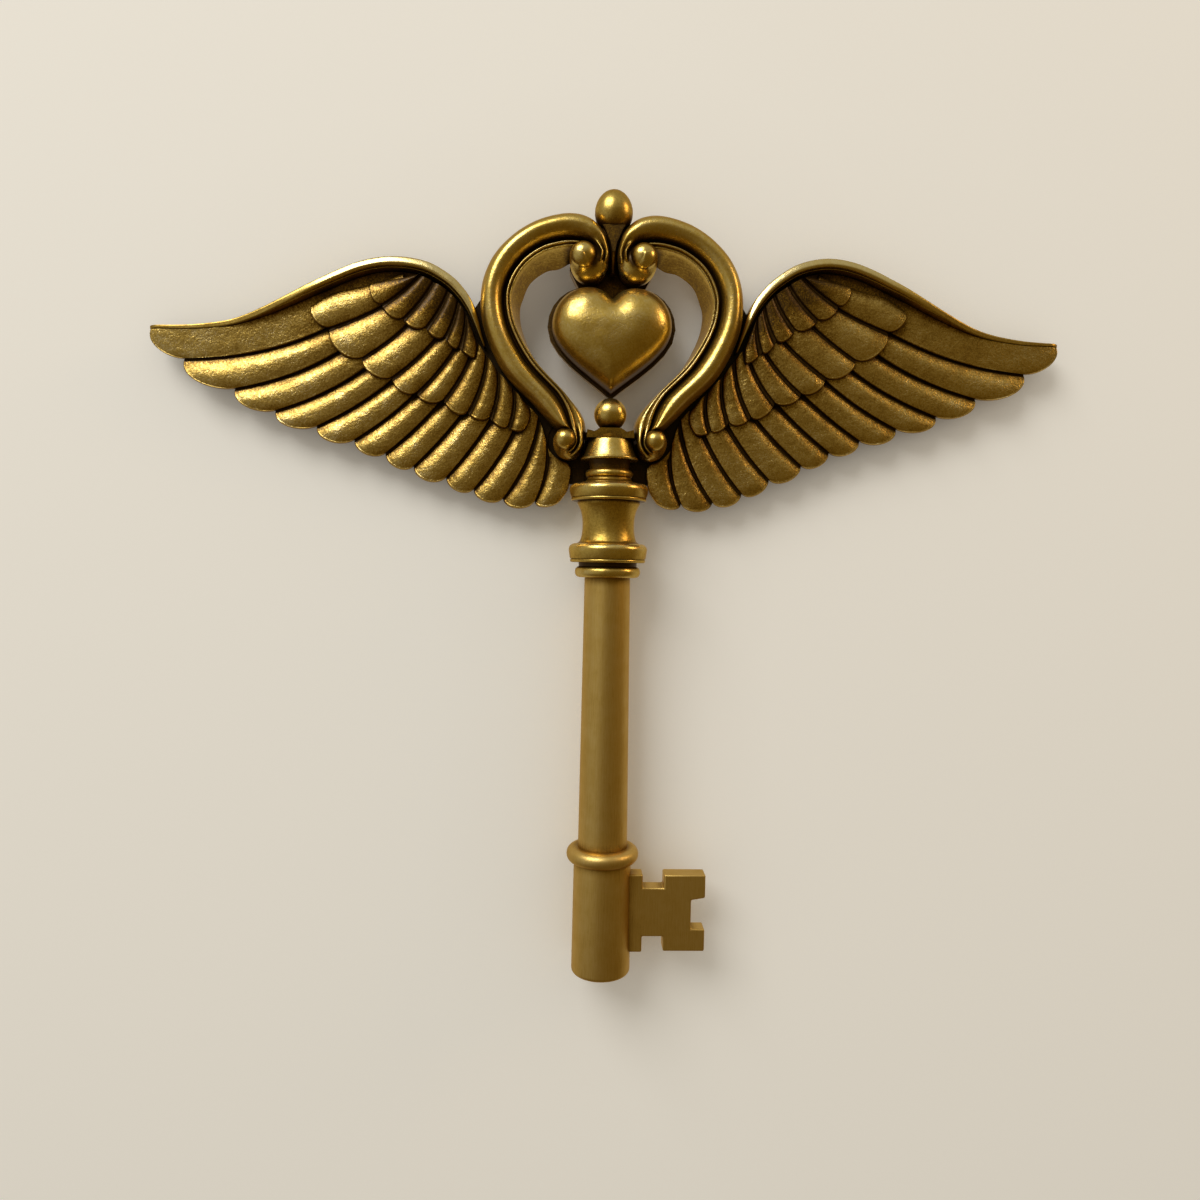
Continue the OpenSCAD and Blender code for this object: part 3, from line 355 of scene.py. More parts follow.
def rough_cast(points, amount, size, seed):
    """Moves the points' depth by a smooth random relief, as the face of a casting has."""
    offset = Vector((seed, 2.3 * seed, 0.7 * seed))
    relief = [noise.noise(Vector(p) / size + offset) for p in points.tolist()]
    points[:, 1] -= amount * np.array(relief)
    return points


# Materials

def node(tree, kind, inputs=None, **settings):
    """A new shader node, with each of its inputs linked or set."""
    made = tree.nodes.new("ShaderNode" + kind)
    for name, value in settings.items():
        setattr(made, name, value)
    for socket, value in (inputs or {}).items():
        if isinstance(value, bpy.types.NodeSocket):
            tree.links.new(value, made.inputs[socket])
        else:
            made.inputs[socket].default_value = value
    return made


def math_node(tree, operation, a, b, clamp=False):
    return node(tree, "Math", {0: a, 1: b}, operation=operation, use_clamp=clamp).outputs[0]


def product(tree, first, *others):
    for other in others:
        first = math_node(tree, "MULTIPLY", first, other)
    return first


def map_range(tree, value, start, end, low=0.0, high=1.0, kind="LINEAR"):
    inputs = {"Value": value, "From Min": start, "From Max": end, "To Min": low, "To Max": high}
    return node(tree, "MapRange", inputs, interpolation_type=kind).outputs[0]


def grain_noise(tree, place, scale, detail, roughness):
    inputs = {"Vector": place, "Scale": scale, "Detail": detail, "Roughness": roughness}
    return node(tree, "TexNoise", inputs).outputs["Fac"]


def open_share(tree, reach):
    """How open a point is to its surroundings within a reach in metres: 1 in the open, 0 where it is closed
    in.
    """
    return node(tree, "AmbientOcclusion", {"Distance": reach}, samples=8).outputs["AO"]


def ramp(tree, fac, stops):
    made = node(tree, "ValToRGB", {"Fac": fac})
    band = made.color_ramp.elements
    while len(band) < len(stops):
        band.new(0.5)
    for element, (place, colour) in zip(band, stops):
        element.position = place
        element.color = (*colour, 1)
    return made.outputs["Color"]


def new_tree(owner):
    """The owner's empty node tree."""
    owner.use_nodes = True
    owner.node_tree.nodes.clear()
    return owner.node_tree


# The darkness at each colour of a finish, which is wear, wax and painted shade, and the tints of the edges
WEAR_AND_SHADE_STOPS = (0.0, 0.26, 0.52, 0.85)
GOLD_EDGE, STEEL_EDGE = (0.75, 0.55, 0.28, 1), (1, 1, 1, 1)
# How much of the given darkness (wax and painted shade) shows, how far wax and painted shade darken a
# recess, the wear of an open face, and how specks gather
HOLLOW_SHARE, HOLLOW_REACH, OPEN_WEAR = 0.7, 4.0, 0.22
SPECK_GAIN, SPECK_BASE = 2.2, 0.4
# Grain, the wear and painted shade over which roughness and metal change, bumps and coat
BROAD_SCALE, DUST_SCALE, STREAK_SCALE = 110.0, 1700.0, (1, 1, 0.06)
ROUGH_RANGE, METAL_RANGE, METALLIC = (0.1, 0.8), (0.35, 0.85), (0.97, 0.75)
BUMP_DEPTH, DUST_IN_BUMP, COAT, COAT_ROUGHNESS = 0.6, 0.35, 0.3, 0.28


def aged_metal(name, colours, roughness, grain, grain_mm, specks=0.0, streaked=False, cavity=0.7,
               mottle=0.35, edge=GOLD_EDGE):
    """Worn metal with dark wax and painted shade in its recesses. colours and roughness run from rubbed
    bright, which also paints highlights, to the wax and shade.
    """
    material = bpy.data.materials.new(name)
    tree = new_tree(material)
    place = node(tree, "TexCoord").outputs["Object"]
    stretched = place
    if streaked:
        stretched = node(tree, "Mapping", {"Vector": place, "Scale": STREAK_SCALE}).outputs[0]
    wax_and_painted_shade = node(tree, "Attribute", attribute_name="wax_and_painted_shade").outputs["Fac"]
    broad = grain_noise(tree, place, BROAD_SCALE, 4.0, 0.6)
    fine = grain_noise(tree, stretched, 1 / (grain_mm * MM), 3.0, 0.65)
    dust = grain_noise(tree, place, DUST_SCALE, 2.0, 0.7)

    # Darker where a point is closed in: painted shade in recesses, together with the wax that gathers there
    closed = math_node(tree, "SUBTRACT", 1.0, open_share(tree, HOLLOW_REACH * MM))
    wear_and_painted_shade = math_node(tree, "ADD", product(tree, wax_and_painted_shade, HOLLOW_SHARE), product(tree, closed, cavity))
    drift = product(tree, math_node(tree, "SUBTRACT", broad, 0.5), mottle)
    speckle = product(tree, math_node(tree, "SUBTRACT", fine, 0.5), mottle)
    gather = math_node(tree, "ADD", product(tree, wear_and_painted_shade, SPECK_GAIN), SPECK_BASE, clamp=True)
    dots = product(tree, math_node(tree, "SUBTRACT", dust, 0.5), gather, specks)
    for more in (drift, speckle, dots):
        wear_and_painted_shade = math_node(tree, "ADD", wear_and_painted_shade, more)
    wear_and_painted_shade = math_node(tree, "ADD", wear_and_painted_shade, OPEN_WEAR, clamp=True)

    height = math_node(tree, "ADD", fine, product(tree, dust, DUST_IN_BUMP))
    bump = node(tree, "Bump", {"Height": height, "Strength": grain, "Distance": BUMP_DEPTH * MM})
    shader = node(tree, "BsdfPrincipled", {
        "Base Color": ramp(tree, wear_and_painted_shade, list(zip(WEAR_AND_SHADE_STOPS, colours))),
        "Roughness": map_range(tree, wear_and_painted_shade, *ROUGH_RANGE, *roughness),
        "Metallic": map_range(tree, wear_and_painted_shade, *METAL_RANGE, *METALLIC),
        "Normal": bump.outputs[0], "Specular Tint": edge,
        "Coat Weight": COAT, "Coat Roughness": COAT_ROUGHNESS})
    node(tree, "OutputMaterial", {"Surface": shader.outputs[0]})
    return material


# The darkest colour: wax in the recesses, and painted shade in channels, grooves and undersides
WAX_AND_SHADE = (0.065, 0.032, 0.006)
GOLD = ((0.95, 0.77, 0.37), (0.72, 0.50, 0.11), (0.32, 0.18, 0.018), WAX_AND_SHADE)
POLISHED = ((0.98, 0.82, 0.43), (0.78, 0.56, 0.14), (0.34, 0.19, 0.02), WAX_AND_SHADE)
MATTE = ((0.94, 0.71, 0.31), (0.76, 0.52, 0.15), (0.35, 0.20, 0.035), (0.07, 0.035, 0.008))
FEATHER = ((0.96, 0.80, 0.46), (0.68, 0.47, 0.12), (0.28, 0.15, 0.014), WAX_AND_SHADE)
DARK = ((0.30, 0.18, 0.045), (0.13, 0.072, 0.018), (0.05, 0.027, 0.008), (0.02, 0.011, 0.005))
STEEL = ((0.66, 0.66, 0.64), (0.52, 0.52, 0.50), (0.30, 0.29, 0.27), (0.10, 0.09, 0.08))

MATERIALS = {
    "gold": aged_metal("aged_gold", GOLD, (0.26, 0.45), 0.16, 1.2, specks=0.6),
    "polished": aged_metal("polished_gold", POLISHED, (0.24, 0.44), 0.09, 1.3, specks=0.4, mottle=0.3),
    "matte": aged_metal("brushed_gold", MATTE, (0.4, 0.55), 0.12, 0.5, streaked=True, mottle=0.3),
    "feather": aged_metal("cast_gold", FEATHER, (0.25, 0.46), 0.36, 1.2, specks=1.2, mottle=0.5),
    # The dark finish paints the deep shade behind the wings on their plates and laps, and darkens the
    # heart's back plate
    "dark": aged_metal("dark_patina_and_painted_shade", DARK, (0.45, 0.6), 0.2, 0.9, specks=0.5),
    "steel": aged_metal("zinc_steel", STEEL, (0.3, 0.5), 0.1, 0.6, cavity=0.4, edge=STEEL_EDGE),
}


# Scrolls

def scroll_sections(u):
    """The section at each place along the scroll, from its outer edge to the foot of its inner wall."""
    band, upper, lower = (through(m, np.linspace(0, len(m) - 1, 81))
                          for m in (BAND_MOULDING, UPPER_CURL_MOULDING, LOWER_CURL_MOULDING))
    to_upper = (1 - change(u, UPPER_CURL_ENDS))[:, None, None]
    early, late = change(u, LOWER_CURL_STARTS), change(u, LOWER_CURL_RISES)
    to_lower = np.stack([early, late, late], -1)[:, None]
    made = band * (1 - to_upper - to_lower) + upper * to_upper + lower * to_lower
    overhang = (change(u, OVERHANG_STARTS) * (1 - change(u, OVERHANG_ENDS)))[:, None]
    made[..., 0] = np.where(made[..., 0] < 0, made[..., 0] * overhang, made[..., 0])
    # The inner wall down to the back is painted half dark, as shade
    back = np.stack([1 + through(SCROLL_DRAFT, u), 0 * u, 0 * u + 0.5], -1)[:, None]
    return np.concatenate([made, lerp(made[:, -1:], back, 0.5), back], 1)


def scroll_band(word, side):
    """The moulded band from the curl of the upper volute to the curl of the lower one."""
    last = len(SCROLL_OUTER) - 1
    u = np.linspace(0, last, last * 13 + 1)
    across, height, wax_and_painted_shade = np.moveaxis(scroll_sections(u), -1, 0)
    at_upper, at_lower, at_lower_inside = (end[0] + end[1] * v for end, v in (
        (UPPER_END, u), (LOWER_END, last - u), (LOWER_END_INSIDE, last - u)))
    tall = np.minimum(1, np.minimum(at_upper, at_lower))
    inside = np.minimum(tall, at_lower_inside)
    tall = SCROLL_DEPTH * lerp(tall[:, None], inside[:, None], change(across, INNER_PART))
    flat = lerp(through(SCROLL_OUTER, u)[:, None], through(SCROLL_INNER, u)[:, None], across[..., None])
    points = at_depth(flat, SCROLL_BACK + height * tall).reshape(-1, 3)
    points = rough_cast(on_side(points, side), amount=0.12, size=9.0, seed=3.1 + side)
    name = word + "_scroll"
    add_piece(name, points, ring_faces(*across.shape), "gold", name, wax_and_painted_shade.clip(-0.2, 1), sharp_deg=60)


def volute_rings(form, ray):
    """Radii of the rings round the pearl's middle: over the pearl, then out to the edge of the body."""
    r = form["pearl_d"] / 2
    away = np.array(form["pearl_at"]) - np.array(form["at"])
    along = ray @ away
    reach = -along + np.sqrt(along ** 2 - away @ away + form["r"] ** 2)
    reach = np.maximum(reach, r * 1.02)
    over = [r * math.sin(t * math.pi / 2) + 0 * reach for t in np.linspace(0.04, 1, 16)]
    out = [lerp(r, reach, 1 - (1 - t) ** 1.9) for t in np.linspace(0, 1, 23)[1:]]
    return np.array(over + out)


def body_depth(flat, form):
    """Depth of the volute's domed body."""
    out = np.clip(np.linalg.norm(flat - np.array(form["at"]), axis=-1) / form["r"], 0, 1)
    return lerp(form["widest"], form["front"], np.sqrt(1 - out ** 2))


def soft_max(a, b, k):
    """The larger of two depths, with a soft change between them over k."""
    share = np.clip(0.5 + 0.5 * (a - b) / k, 0, 1)
    return lerp(b, a, share) + k * share * (1 - share)


def volute(name, form, side):
    """The pearl and the domed body of a volute in one skin. front is the body's depth in its middle, widest
    the depth where it is as wide as r, and foot the share of that width at its back. The two flow together
    towards merge_deg, the more softly the larger merge is."""
    turns = 84
    angle, ray = circle(turns)
    r = form["pearl_d"] / 2
    radius = volute_rings(form, ray)
    flat = np.array(form["pearl_at"]) + radius[..., None] * ray
    middle = SCROLL_BACK + PEARL_SEAT * SCROLL_DEPTH + r - PEARL_SUNK
    sphere = np.where(radius < r, middle + np.sqrt(np.clip(r ** 2 - radius ** 2, 0, None)),
                      middle - 4 * (radius - r))
    toward = np.cos(angle - math.radians(form["merge_deg"]))
    softness = 0.3 + form["merge"] * change(toward, (-0.3, 1.0))
    depth = soft_max(body_depth(flat, form), sphere, softness)
    depth = np.where(radius < 0.97 * r, np.maximum(depth, sphere), depth)
    under = [at_depth(lerp(np.array(form["at"]), flat[-1], lerp(1, form["foot"], t ** 1.6)),
                      lerp(depth[-1], SCROLL_BACK, t)) for t in (0.2, 0.45, 0.7, 1.0)]
    points = np.concatenate([at_depth(flat, depth), under])
    # Painted shade in the groove round the pearl, away from where it merges with the body, and darker down
    # the underside towards the back
    groove = np.exp(-((radius - r) / 1.5) ** 2) * (1 - change(toward, (-0.3, 0.8)))
    shade = np.array([0.15, 0.45, 0.8, 1.0])[:, None] + 0 * groove[:1]
    add_piece(name, on_side(points.reshape(-1, 3), side), ring_faces(len(points), turns), "polished", name,
              np.concatenate([groove, shade]), sharp_deg=60)


# Heart

def heart_outline(count):
    lobe, top, side = (bezier(HEART_CURVES[i:i + 4], np.linspace(0, 1, n))
                       for i, n in ((0, count // 2), (3, count), (6, count)))
    half = np.concatenate([lobe, top[1:], side[1:]])
    return np.concatenate([half, half[-2:0:-1] * np.array([-1, 1])])


def heart():
    """The dome swells from its whole outline, so the cleft runs out in a short crease."""
    outline, edge = heart_outline(34), heart_outline(120)
    share = 1 - np.linspace(0, 1, 44) ** 1.7 * 0.985
    flat = lerp(np.array(HEART_MIDDLE), outline, share[:, None, None])
    gap = np.linalg.norm(flat.reshape(-1, 1, 2) - edge[None], axis=-1)
    power = 6
    inset = (np.mean(np.maximum(gap, 1e-3) ** -power, axis=1)) ** (-1 / power)
    inset = inset.reshape(flat.shape[:2])
    inset[0] = 0
    inset /= inset.max()
    rise = np.sqrt(1 - (1 - inset) ** 1.85)
    top = at_depth(flat, HEART_BASE + HEART_HEIGHT * lerp(HEART_EDGE, 1, rise))
    points = np.concatenate([at_depth(outline, HEART_BASE)[None], top]).reshape(-1, 3)
    # Painted shade: dark round the dome's foot, and darker over its lower part
    low = change(-flat[..., 1], HEART_LOW)
    dark = (0.75 + 0.25 * low) * np.exp(-inset * 20) + 0.75 * low * np.exp(-inset * 8)
    add_piece("heart_front", rough_cast(points, amount=0.18, size=7.0, seed=5.0),
              ring_faces(len(share) + 1, len(outline)), "gold", "heart_front",
              np.concatenate([0 * inset[:1] + 1, dark]), sharp_deg=60)


# Column

def revolve(profile, turns):
    """Points of a profile of radius and height turned about the column's axis."""
    profile = np.array(profile, float)
    ring = circle(turns)[1] * np.maximum(profile[:, :1], 0.02)[..., None]
    height = profile[:, 1:] + np.zeros(turns)
    return np.stack([ring[..., 0], ring[..., 1] - AXIS_DEPTH, height], -1).reshape(-1, 3)


def turned(name, profile, finish, wax_and_painted_shade=None):
    """A turned piece. Its darkness, wax and painted light and shade, has a number for each point of the
    profile.
    """
    turns = 120
    wax_and_painted_shade = None if wax_and_painted_shade is None else np.repeat(np.asarray(wax_and_painted_shade, float), turns)
    add_piece(name, revolve(profile, turns), ring_faces(len(profile), turns), finish, name, wax_and_painted_shade)


def rounded(corners, r, fine=5):
    """An open profile with its inner corners rounded by radius r, or by each corner's own third number."""
    made = [corners[0][:2]]
    for before, here, after in zip(corners, corners[1:], corners[2:]):
        a, b, c = (np.array(p[:2], float) for p in (before, here, after))
        cut = here[2] if len(here) > 2 else r
        start = b + (a - b) / np.linalg.norm(a - b) * min(cut, 0.49 * np.linalg.norm(a - b))
        end = b + (c - b) / np.linalg.norm(c - b) * min(cut, 0.49 * np.linalg.norm(c - b))
        made += bezier([start, b, end], np.linspace(0, 1, fine)).tolist()
    return made + [corners[-1][:2]]


def round_edge(r, top, h, flat):
    """The round edge of a ring between two heights. flat makes its middle straighter."""
    angle = np.radians(np.linspace(90, -90, 25))
    across = np.sign(np.cos(angle)) * np.abs(np.cos(angle)) ** (1 - flat)
    return [(r - h / 2 + h / 2 * c, top - h / 2 + h / 2 * s) for c, s in zip(across, np.sin(angle))]


def crown():
    """The CAD block, with the rounded strip that runs down between the upper volutes."""
    points, faces = cad_mesh("crown_block")
    # The block lies deep between the volutes and is painted dark, as shade
    wax_and_painted_shade = [0.75] * len(points)
    z = np.linspace(FINIAL_FOOT - 0.3, STRIP_FOOT, 26)
    half = lerp(*STRIP_HALF_W, change(z, (3, 13)) ** 1.4)[:, None]
    front = lerp(*STRIP_FRONT, change(z, (STRIP_FOOT, 9)) * (1 - 0.35 * change(z, (9, 6))))[:, None]
    place = np.linspace(-1, 1, 15)
    grid = at_depth(np.stack([half * place, z[:, None] + 0 * place], -1),
                    front - STRIP_ROUND * place ** 2 * lerp(0.6, 1, half / STRIP_HALF_W[1]))
    strip, strip_faces, skirt = shell(grid, STRIP_BACK)
    faces.extend([[len(points) + i for i in face] for face in strip_faces])
    points.extend(strip.tolist())
    # Painted shade on the strip: darker under the finial, towards its foot and towards its sides
    shade = 0.1 + 0.35 * change(z, (6, 6)) + 0.6 * smooth((2 - z) / 5)
    wax_and_painted_shade.extend((shade[:, None] + 0.4 * place ** 2).ravel())
    wax_and_painted_shade.extend([0.8] * skirt)
    add_piece("crown_block_set", points, faces, "gold", "crown_block", wax_and_painted_shade)


def saddle():
    """The seat under the heart's pearl: a cone on a bracket, and a bar to an eye behind each volute."""
    turns = 96
    cone = [(lerp(*SEAT_R, t ** 0.8), lerp(CUP_TOP, SADDLE_TOP, t)) for t in np.linspace(0, 1, 12)]
    profile = [(0, CUP_TOP)] + cone + [(0, SADDLE_TOP)]
    points, faces = revolve(profile, turns).tolist(), ring_faces(len(profile), turns)
    # The saddle and its bracket, bar and eyes are darkened evenly
    wax_and_painted_shade = [0.5] * len(points)
    add_block(points, faces, BRACKET, BRACKET_FRONT, BRACKET_BACK)
    x, z = LOWER_VOLUTE["at"]
    bar = [(-x, CUP_TOP), (x, CUP_TOP), (x, SADDLE_TOP), (-x, SADDLE_TOP)]
    add_block(points, faces, bar, SCROLL_BACK, SADDLE_BACK)
    for way in (-1, 1):
        add_block(points, faces, np.array([way * x, z]) + EYE_R * circle(40)[1], SCROLL_BACK, SADDLE_BACK)
    wax_and_painted_shade += [0.55] * (len(points) - len(wax_and_painted_shade))
    add_piece("saddle_set", points, faces, "gold", "saddle", wax_and_painted_shade)


def finial():
    """An egg, widest a little below its middle and cut off at its foot."""
    waist = 0.4
    angle = np.radians(np.linspace(-44, 90, 44))
    share = np.where(angle < 0, 0.56, 1 - waist)
    egg = np.stack([FINIAL_D / 2 * np.cos(angle).clip(0, 1) ** np.where(angle < 0, 1, 1.04),
                    FINIAL_FOOT + FINIAL_H * (waist + share * np.sin(angle))], -1).tolist()
    # Painted shade at the foot of the ball, fading upward
    turned("finial_ball", [(0, FINIAL_FOOT), (0.34 * FINIAL_D, FINIAL_FOOT)] + egg, "polished",
           [0.8] * 2 + (0.12 + 0.5 * np.exp(-np.linspace(0, 7, len(egg)))).tolist())


def heart_pearl():
    ball = arc((0, HEART_PEARL_Z), HEART_PEARL_D / 2, -68, 90, 40)
    # Painted shade under the pearl, fading upward
    turned("heart_pearl", [(0, ball[0][1])] + ball, "polished",
           [0.8] + (0.7 * np.exp(-np.linspace(0, 7, len(ball)))).tolist())


def cup():
    """A straight flare under a conical shoulder."""
    foot, top = NECK_TOP + CUP_FOOT_H, CUP_TOP - CUP_SHOULDER_H
    flare = [(lerp(*CUP_FLARE_R, t ** 0.85), lerp(foot, top, t)) for t in np.linspace(0, 1, 20)]
    below = rounded([(0, NECK_TOP), (CUP_R, NECK_TOP), (CUP_R, foot), flare[0]], 0.4)
    shoulder = rounded([flare[-1], (CUP_SHOULDER_R[0], CUP_TOP - 2.6), (CUP_SHOULDER_R[1], CUP_TOP),
                        (0, CUP_TOP)], 0.6)
    turned("flared_cup", below + flare[1:] + shoulder[1:], "polished")


def neck():
    """The bead of the neck, on a flare that meets the upper ring."""
    bead_z = lerp(UPPER_RING_TOP, NECK_TOP, BEAD_SHARE)
    flare = [(lerp(*NECK_FLARE_R, math.sin(math.pi / 2 * t)),
              lerp(UPPER_RING_TOP + 0.5, bead_z - 1.75, 1 - math.cos(math.pi / 2 * t)))
             for t in np.linspace(0, 1, 20)]
    bead = arc((BEAD_R, bead_z), BEAD_SECTION_R, -60, 90, 13)
    above = [(8.5, bead_z + 2.4), (8.7, bead_z + 3.6), (9.1, NECK_TOP - 0.6), (9.2, NECK_TOP), (0, NECK_TOP)]
    # Painted shade under the cup and at the foot, lighter on the flare and lightest on the bead
    turned("neck_bead", [(0, UPPER_RING_TOP), (12.5, UPPER_RING_TOP)] + flare + bead + above, "gold",
           [0.7] * 2 + [0.3] * len(flare) + [0.05] * len(bead) + [0.5, 0.7, 0.9, 1, 1])


def ring_edge(top, foot):
    """A collar ring: a rounded shoulder, a slightly conical side and a thin lip, with its painted light and
    shade.
    """
    r = RING_D / 2
    shoulder = arc((r - RING_SHOULDER_R, top - RING_SHOULDER_R), RING_SHOULDER_R, 90, 0, 12)
    side = [(r - 0.15, top - 3.9), (r - 0.5, foot + 2.3), (r - 0.75, foot + 1.6)]
    lip = arc((r - 1.5, foot + 0.85), RING_LIP_R, 70, -90, 12)
    # Painted highlight on the shoulder, a little darker down the side, and painted shade under the lip
    wax_and_painted_shade = [0.1] + [-0.15] * 7 + [0.0] * 4 + [0.08, 0.16, 0.2] + [0.08] * 9 + [0.4, 0.8, 0.9]
    return shoulder + side + lip, wax_and_painted_shade


def collar_rings():
    """Two rings. The lower one is a little taller and has a step down to the ferrule."""
    foot = LOWER_RING_TOP - LOWER_RING_H
    step = [(FERRULE_STEP_R, foot), (FERRULE_STEP_R, FERRULE_TOP), (0, FERRULE_TOP)]
    for name, top, h, end in (("upper_ring", UPPER_RING_TOP, RING_H, [(0, BALUSTER_TOP)]),
                              ("lower_ring", LOWER_RING_TOP, LOWER_RING_H, step)):
        side, wax_and_painted_shade = ring_edge(top, top - h)
        turned(name, [(0, top)] + side + end, "polished", [0.5] + wax_and_painted_shade + [1] * len(end))


def baluster():
    t = np.linspace(0, 1, 40)
    swell = lerp(BALUSTER_WAIST_R, BALUSTER_END_R, (np.abs(2 * t - 0.84) / 1.16) ** 2.4)
    waist = np.stack([swell, lerp(LOWER_RING_TOP + 1, BALUSTER_TOP - 1, t)], -1).tolist()
    turned("baluster", [(0, LOWER_RING_TOP), (BALUSTER_END_R, LOWER_RING_TOP)] + waist
           + [(BALUSTER_END_R, BALUSTER_TOP), (0, BALUSTER_TOP)], "gold",
           [0.5] * 2 + [0.13] * len(waist) + [0.5] * 2)


def shank_and_barrel():
    turned("ferrule_ring", [(0, FERRULE_TOP)] + round_edge(FERRULE_R, FERRULE_TOP, FERRULE_H, 0.2)
           + [(0, SHANK_TOP)], "polished")
    taper = [(lerp(SHANK_FOOT_R, SHANK_TOP_R, t), lerp(BARREL_TOP, SHANK_TOP, t))
             for t in np.linspace(0, 1, 30)]
    turned("shank", [(0, BARREL_TOP)] + taper + [(0, SHANK_TOP)], "matte")
    top = BARREL_TOP + BARREL_RING_H
    turned("barrel_ring", [(SHANK_FOOT_R, top)] + round_edge(BARREL_RING_R, top, BARREL_RING_H, 0.1)
           + [(SHANK_FOOT_R, BARREL_TOP)], "matte")
    corners = [(0, BARREL_FOOT), (BARREL_R, BARREL_FOOT, 2.0), (BARREL_TOP_R, BARREL_TOP, 0.5)]
    turned("barrel", rounded(corners + [(0, BARREL_TOP)], 1, 9), "matte")


# Bit

def bit():
    """The warded plate, with softened edges."""
    inner = BIT_REACH - WARD_DEPTH
    outline = [(BIT_ROOT, BIT_TOP), (BIT_TAB, BIT_TOP), (BIT_TAB, BIT_TOP - TOP_NOTCH),
               (BIT_BLOCK, BIT_TOP - TOP_NOTCH), (BIT_BLOCK, BIT_TOP), (BIT_REACH, BIT_TOP),
               (BIT_REACH, WARD_TOP), (inner, WARD_TOP - 1), (inner, WARD_FOOT), (BIT_REACH, WARD_FOOT),
               (BIT_REACH, BIT_FOOT), (BIT_BLOCK, BIT_FOOT), (BIT_BLOCK, BIT_FOOT + FOOT_NOTCH),
               (BIT_TAB, BIT_FOOT + FOOT_NOTCH), (BIT_TAB, BIT_TAB_FOOT), (BIT_ROOT, BIT_TAB_FOOT)]
    points, faces = [], []
    add_block(points, faces, outline, AXIS_DEPTH + BIT_HALF_T, AXIS_DEPTH - BIT_HALF_T)
    piece = add_piece("bit", points, faces, "matte", "bit")
    soften = piece.modifiers.new("edges", "BEVEL")
    soften.width = BIT_SOFTENING * MM
    soften.segments = 3
    soften.limit_method = "ANGLE"


# Wings

def sway(points, side):
    """The photographed casting's right wing is set a little higher than its left one."""
    x = np.abs(points[:, 0])
    points[:, 2] += side * WING_SWAY * change(x, (52, 46)) * (1 - 0.55 * change(x, (125, 75)))
    return points


def set_wing_part(points, side):
    """A part of the wing in its place, and no wider than the CAD's wing."""
    points = sway(points, side)
    points[:, 0] = points[:, 0].clip(-WING_REACH, WING_REACH)
    return points


def rim(word, side):
    """The leading rim: a broad flat band, a narrow groove and a thin ridge along the feathers.
    Towards the wing's tip it lies flush with the first feather."""
    last = len(RIM_EDGE) - 1
    u = np.linspace(0, last, last * 9 + 1)
    place = np.linspace(0, len(RIM_MOULDING) - 1, 49)
    across, height, wax_and_painted_shade = through(RIM_MOULDING, place).T
    rise = (0.3 + 0.02 * u + 0.66 * change(u, (1.4, 3.2))) * change(u, (-0.15, 0.4))
    tall = (RIM_FRONT - WING_BACK) * np.minimum(np.minimum(1, rise), 0.5 + 0.2 * (last - u))[:, None]
    raised = change(u, (2.8, 2.2))[:, None]
    inward = side_of(RIM_EDGE, u) * through(RIM_WIDTH, u)[:, None]
    flat = through(RIM_EDGE, u)[:, None] - inward[:, None] * across.clip(0, 1)[:, None]
    height = lerp(through(RIM_FLUSH, place), height, raised).clip(0, 1)
    points = at_depth(flat, WING_BACK + tall * height)
    cast = rough_cast(on_side(points.reshape(-1, 3), side), amount=0.1, size=6.0, seed=8.0 + side)
    name = word + "_wing_rim"
    # Painted highlight on the broad band and painted shade at the rim's edges; where it lies flush it is
    # evenly a little dark
    add_piece(name, set_wing_part(cast, side), ring_faces(*height.shape), "polished", name,
              lerp(0.25, wax_and_painted_shade.clip(-0.3, 1), raised), sharp_deg=60)


def wing_plate(word, side):
    """The CAD plate, set with the wing that it carries, and its lap behind the lower volute.
    Both are dark, as painted shade behind the wing and beside the neck.
    """
    name = word + "_wing_plate"
    points, faces = cad_mesh(name)
    add_block(points, faces, on_side(LAP, side), LAP_FRONT, LAP_BACK)
    add_piece(name + "_set", sway(np.array(points), side), faces, "dark", name, np.full(len(points), 0.5),
              sharp_deg=30)


def first_line(row, t):
    """The upper line of a row's first feather, along the rim or as a free contour that leaves it."""
    if "contour" not in row:
        return rim_inner(lerp(7.4, 0.05, t ** 0.75), RIM_GAP / 2)
    contour = np.concatenate([rim_inner([row["leaves_rim_at"]], RIM_GAP), row["contour"]])
    return through(contour, (len(contour) - 1) * t)


def row_lines(row, t):
    """The lines between the feathers of a row, from its first feather's upper line to the body."""
    lines = [first_line(row, t)]
    for i, notch in enumerate(row["notches"]):
        share = i / len(row["notches"])
        root = through(row["roots"], (len(row["roots"]) - 1) * share)
        bow = through(row["bows"], (len(row["bows"]) - 1) * share)
        d = np.array(notch, float) - root
        middle = (root + np.array(notch)) / 2 + 2 * bow * np.array([d[1], -d[0]])
        lines.append(bezier([root, middle, notch], t))
    lines.append(through(row["body"], (len(row["body"]) - 1) * t))
    return lines


def tip_curve(upper, lower, along, angle, s):
    """A feather's rounded tip from its upper to its lower notch."""
    size = np.linalg.norm(lower - upper)
    across = np.array([along[1], -along[0]])
    lift = upper + 0.36 * size * (math.cos(angle) * along + math.sin(angle) * across)
    return bezier([upper, lift, lower + 0.42 * size * along, lower], s)


def stations(count):
    """Places along a feather, closer together towards its tip."""
    return 1 - (1 - np.linspace(0, 1, count)) ** 1.5


def rounding(distance, radius):
    """Rises from 0 to 1 over radius, as a rounded edge does."""
    return np.sqrt(1 - (1 - np.clip(distance / radius, 0, 1)) ** 2)


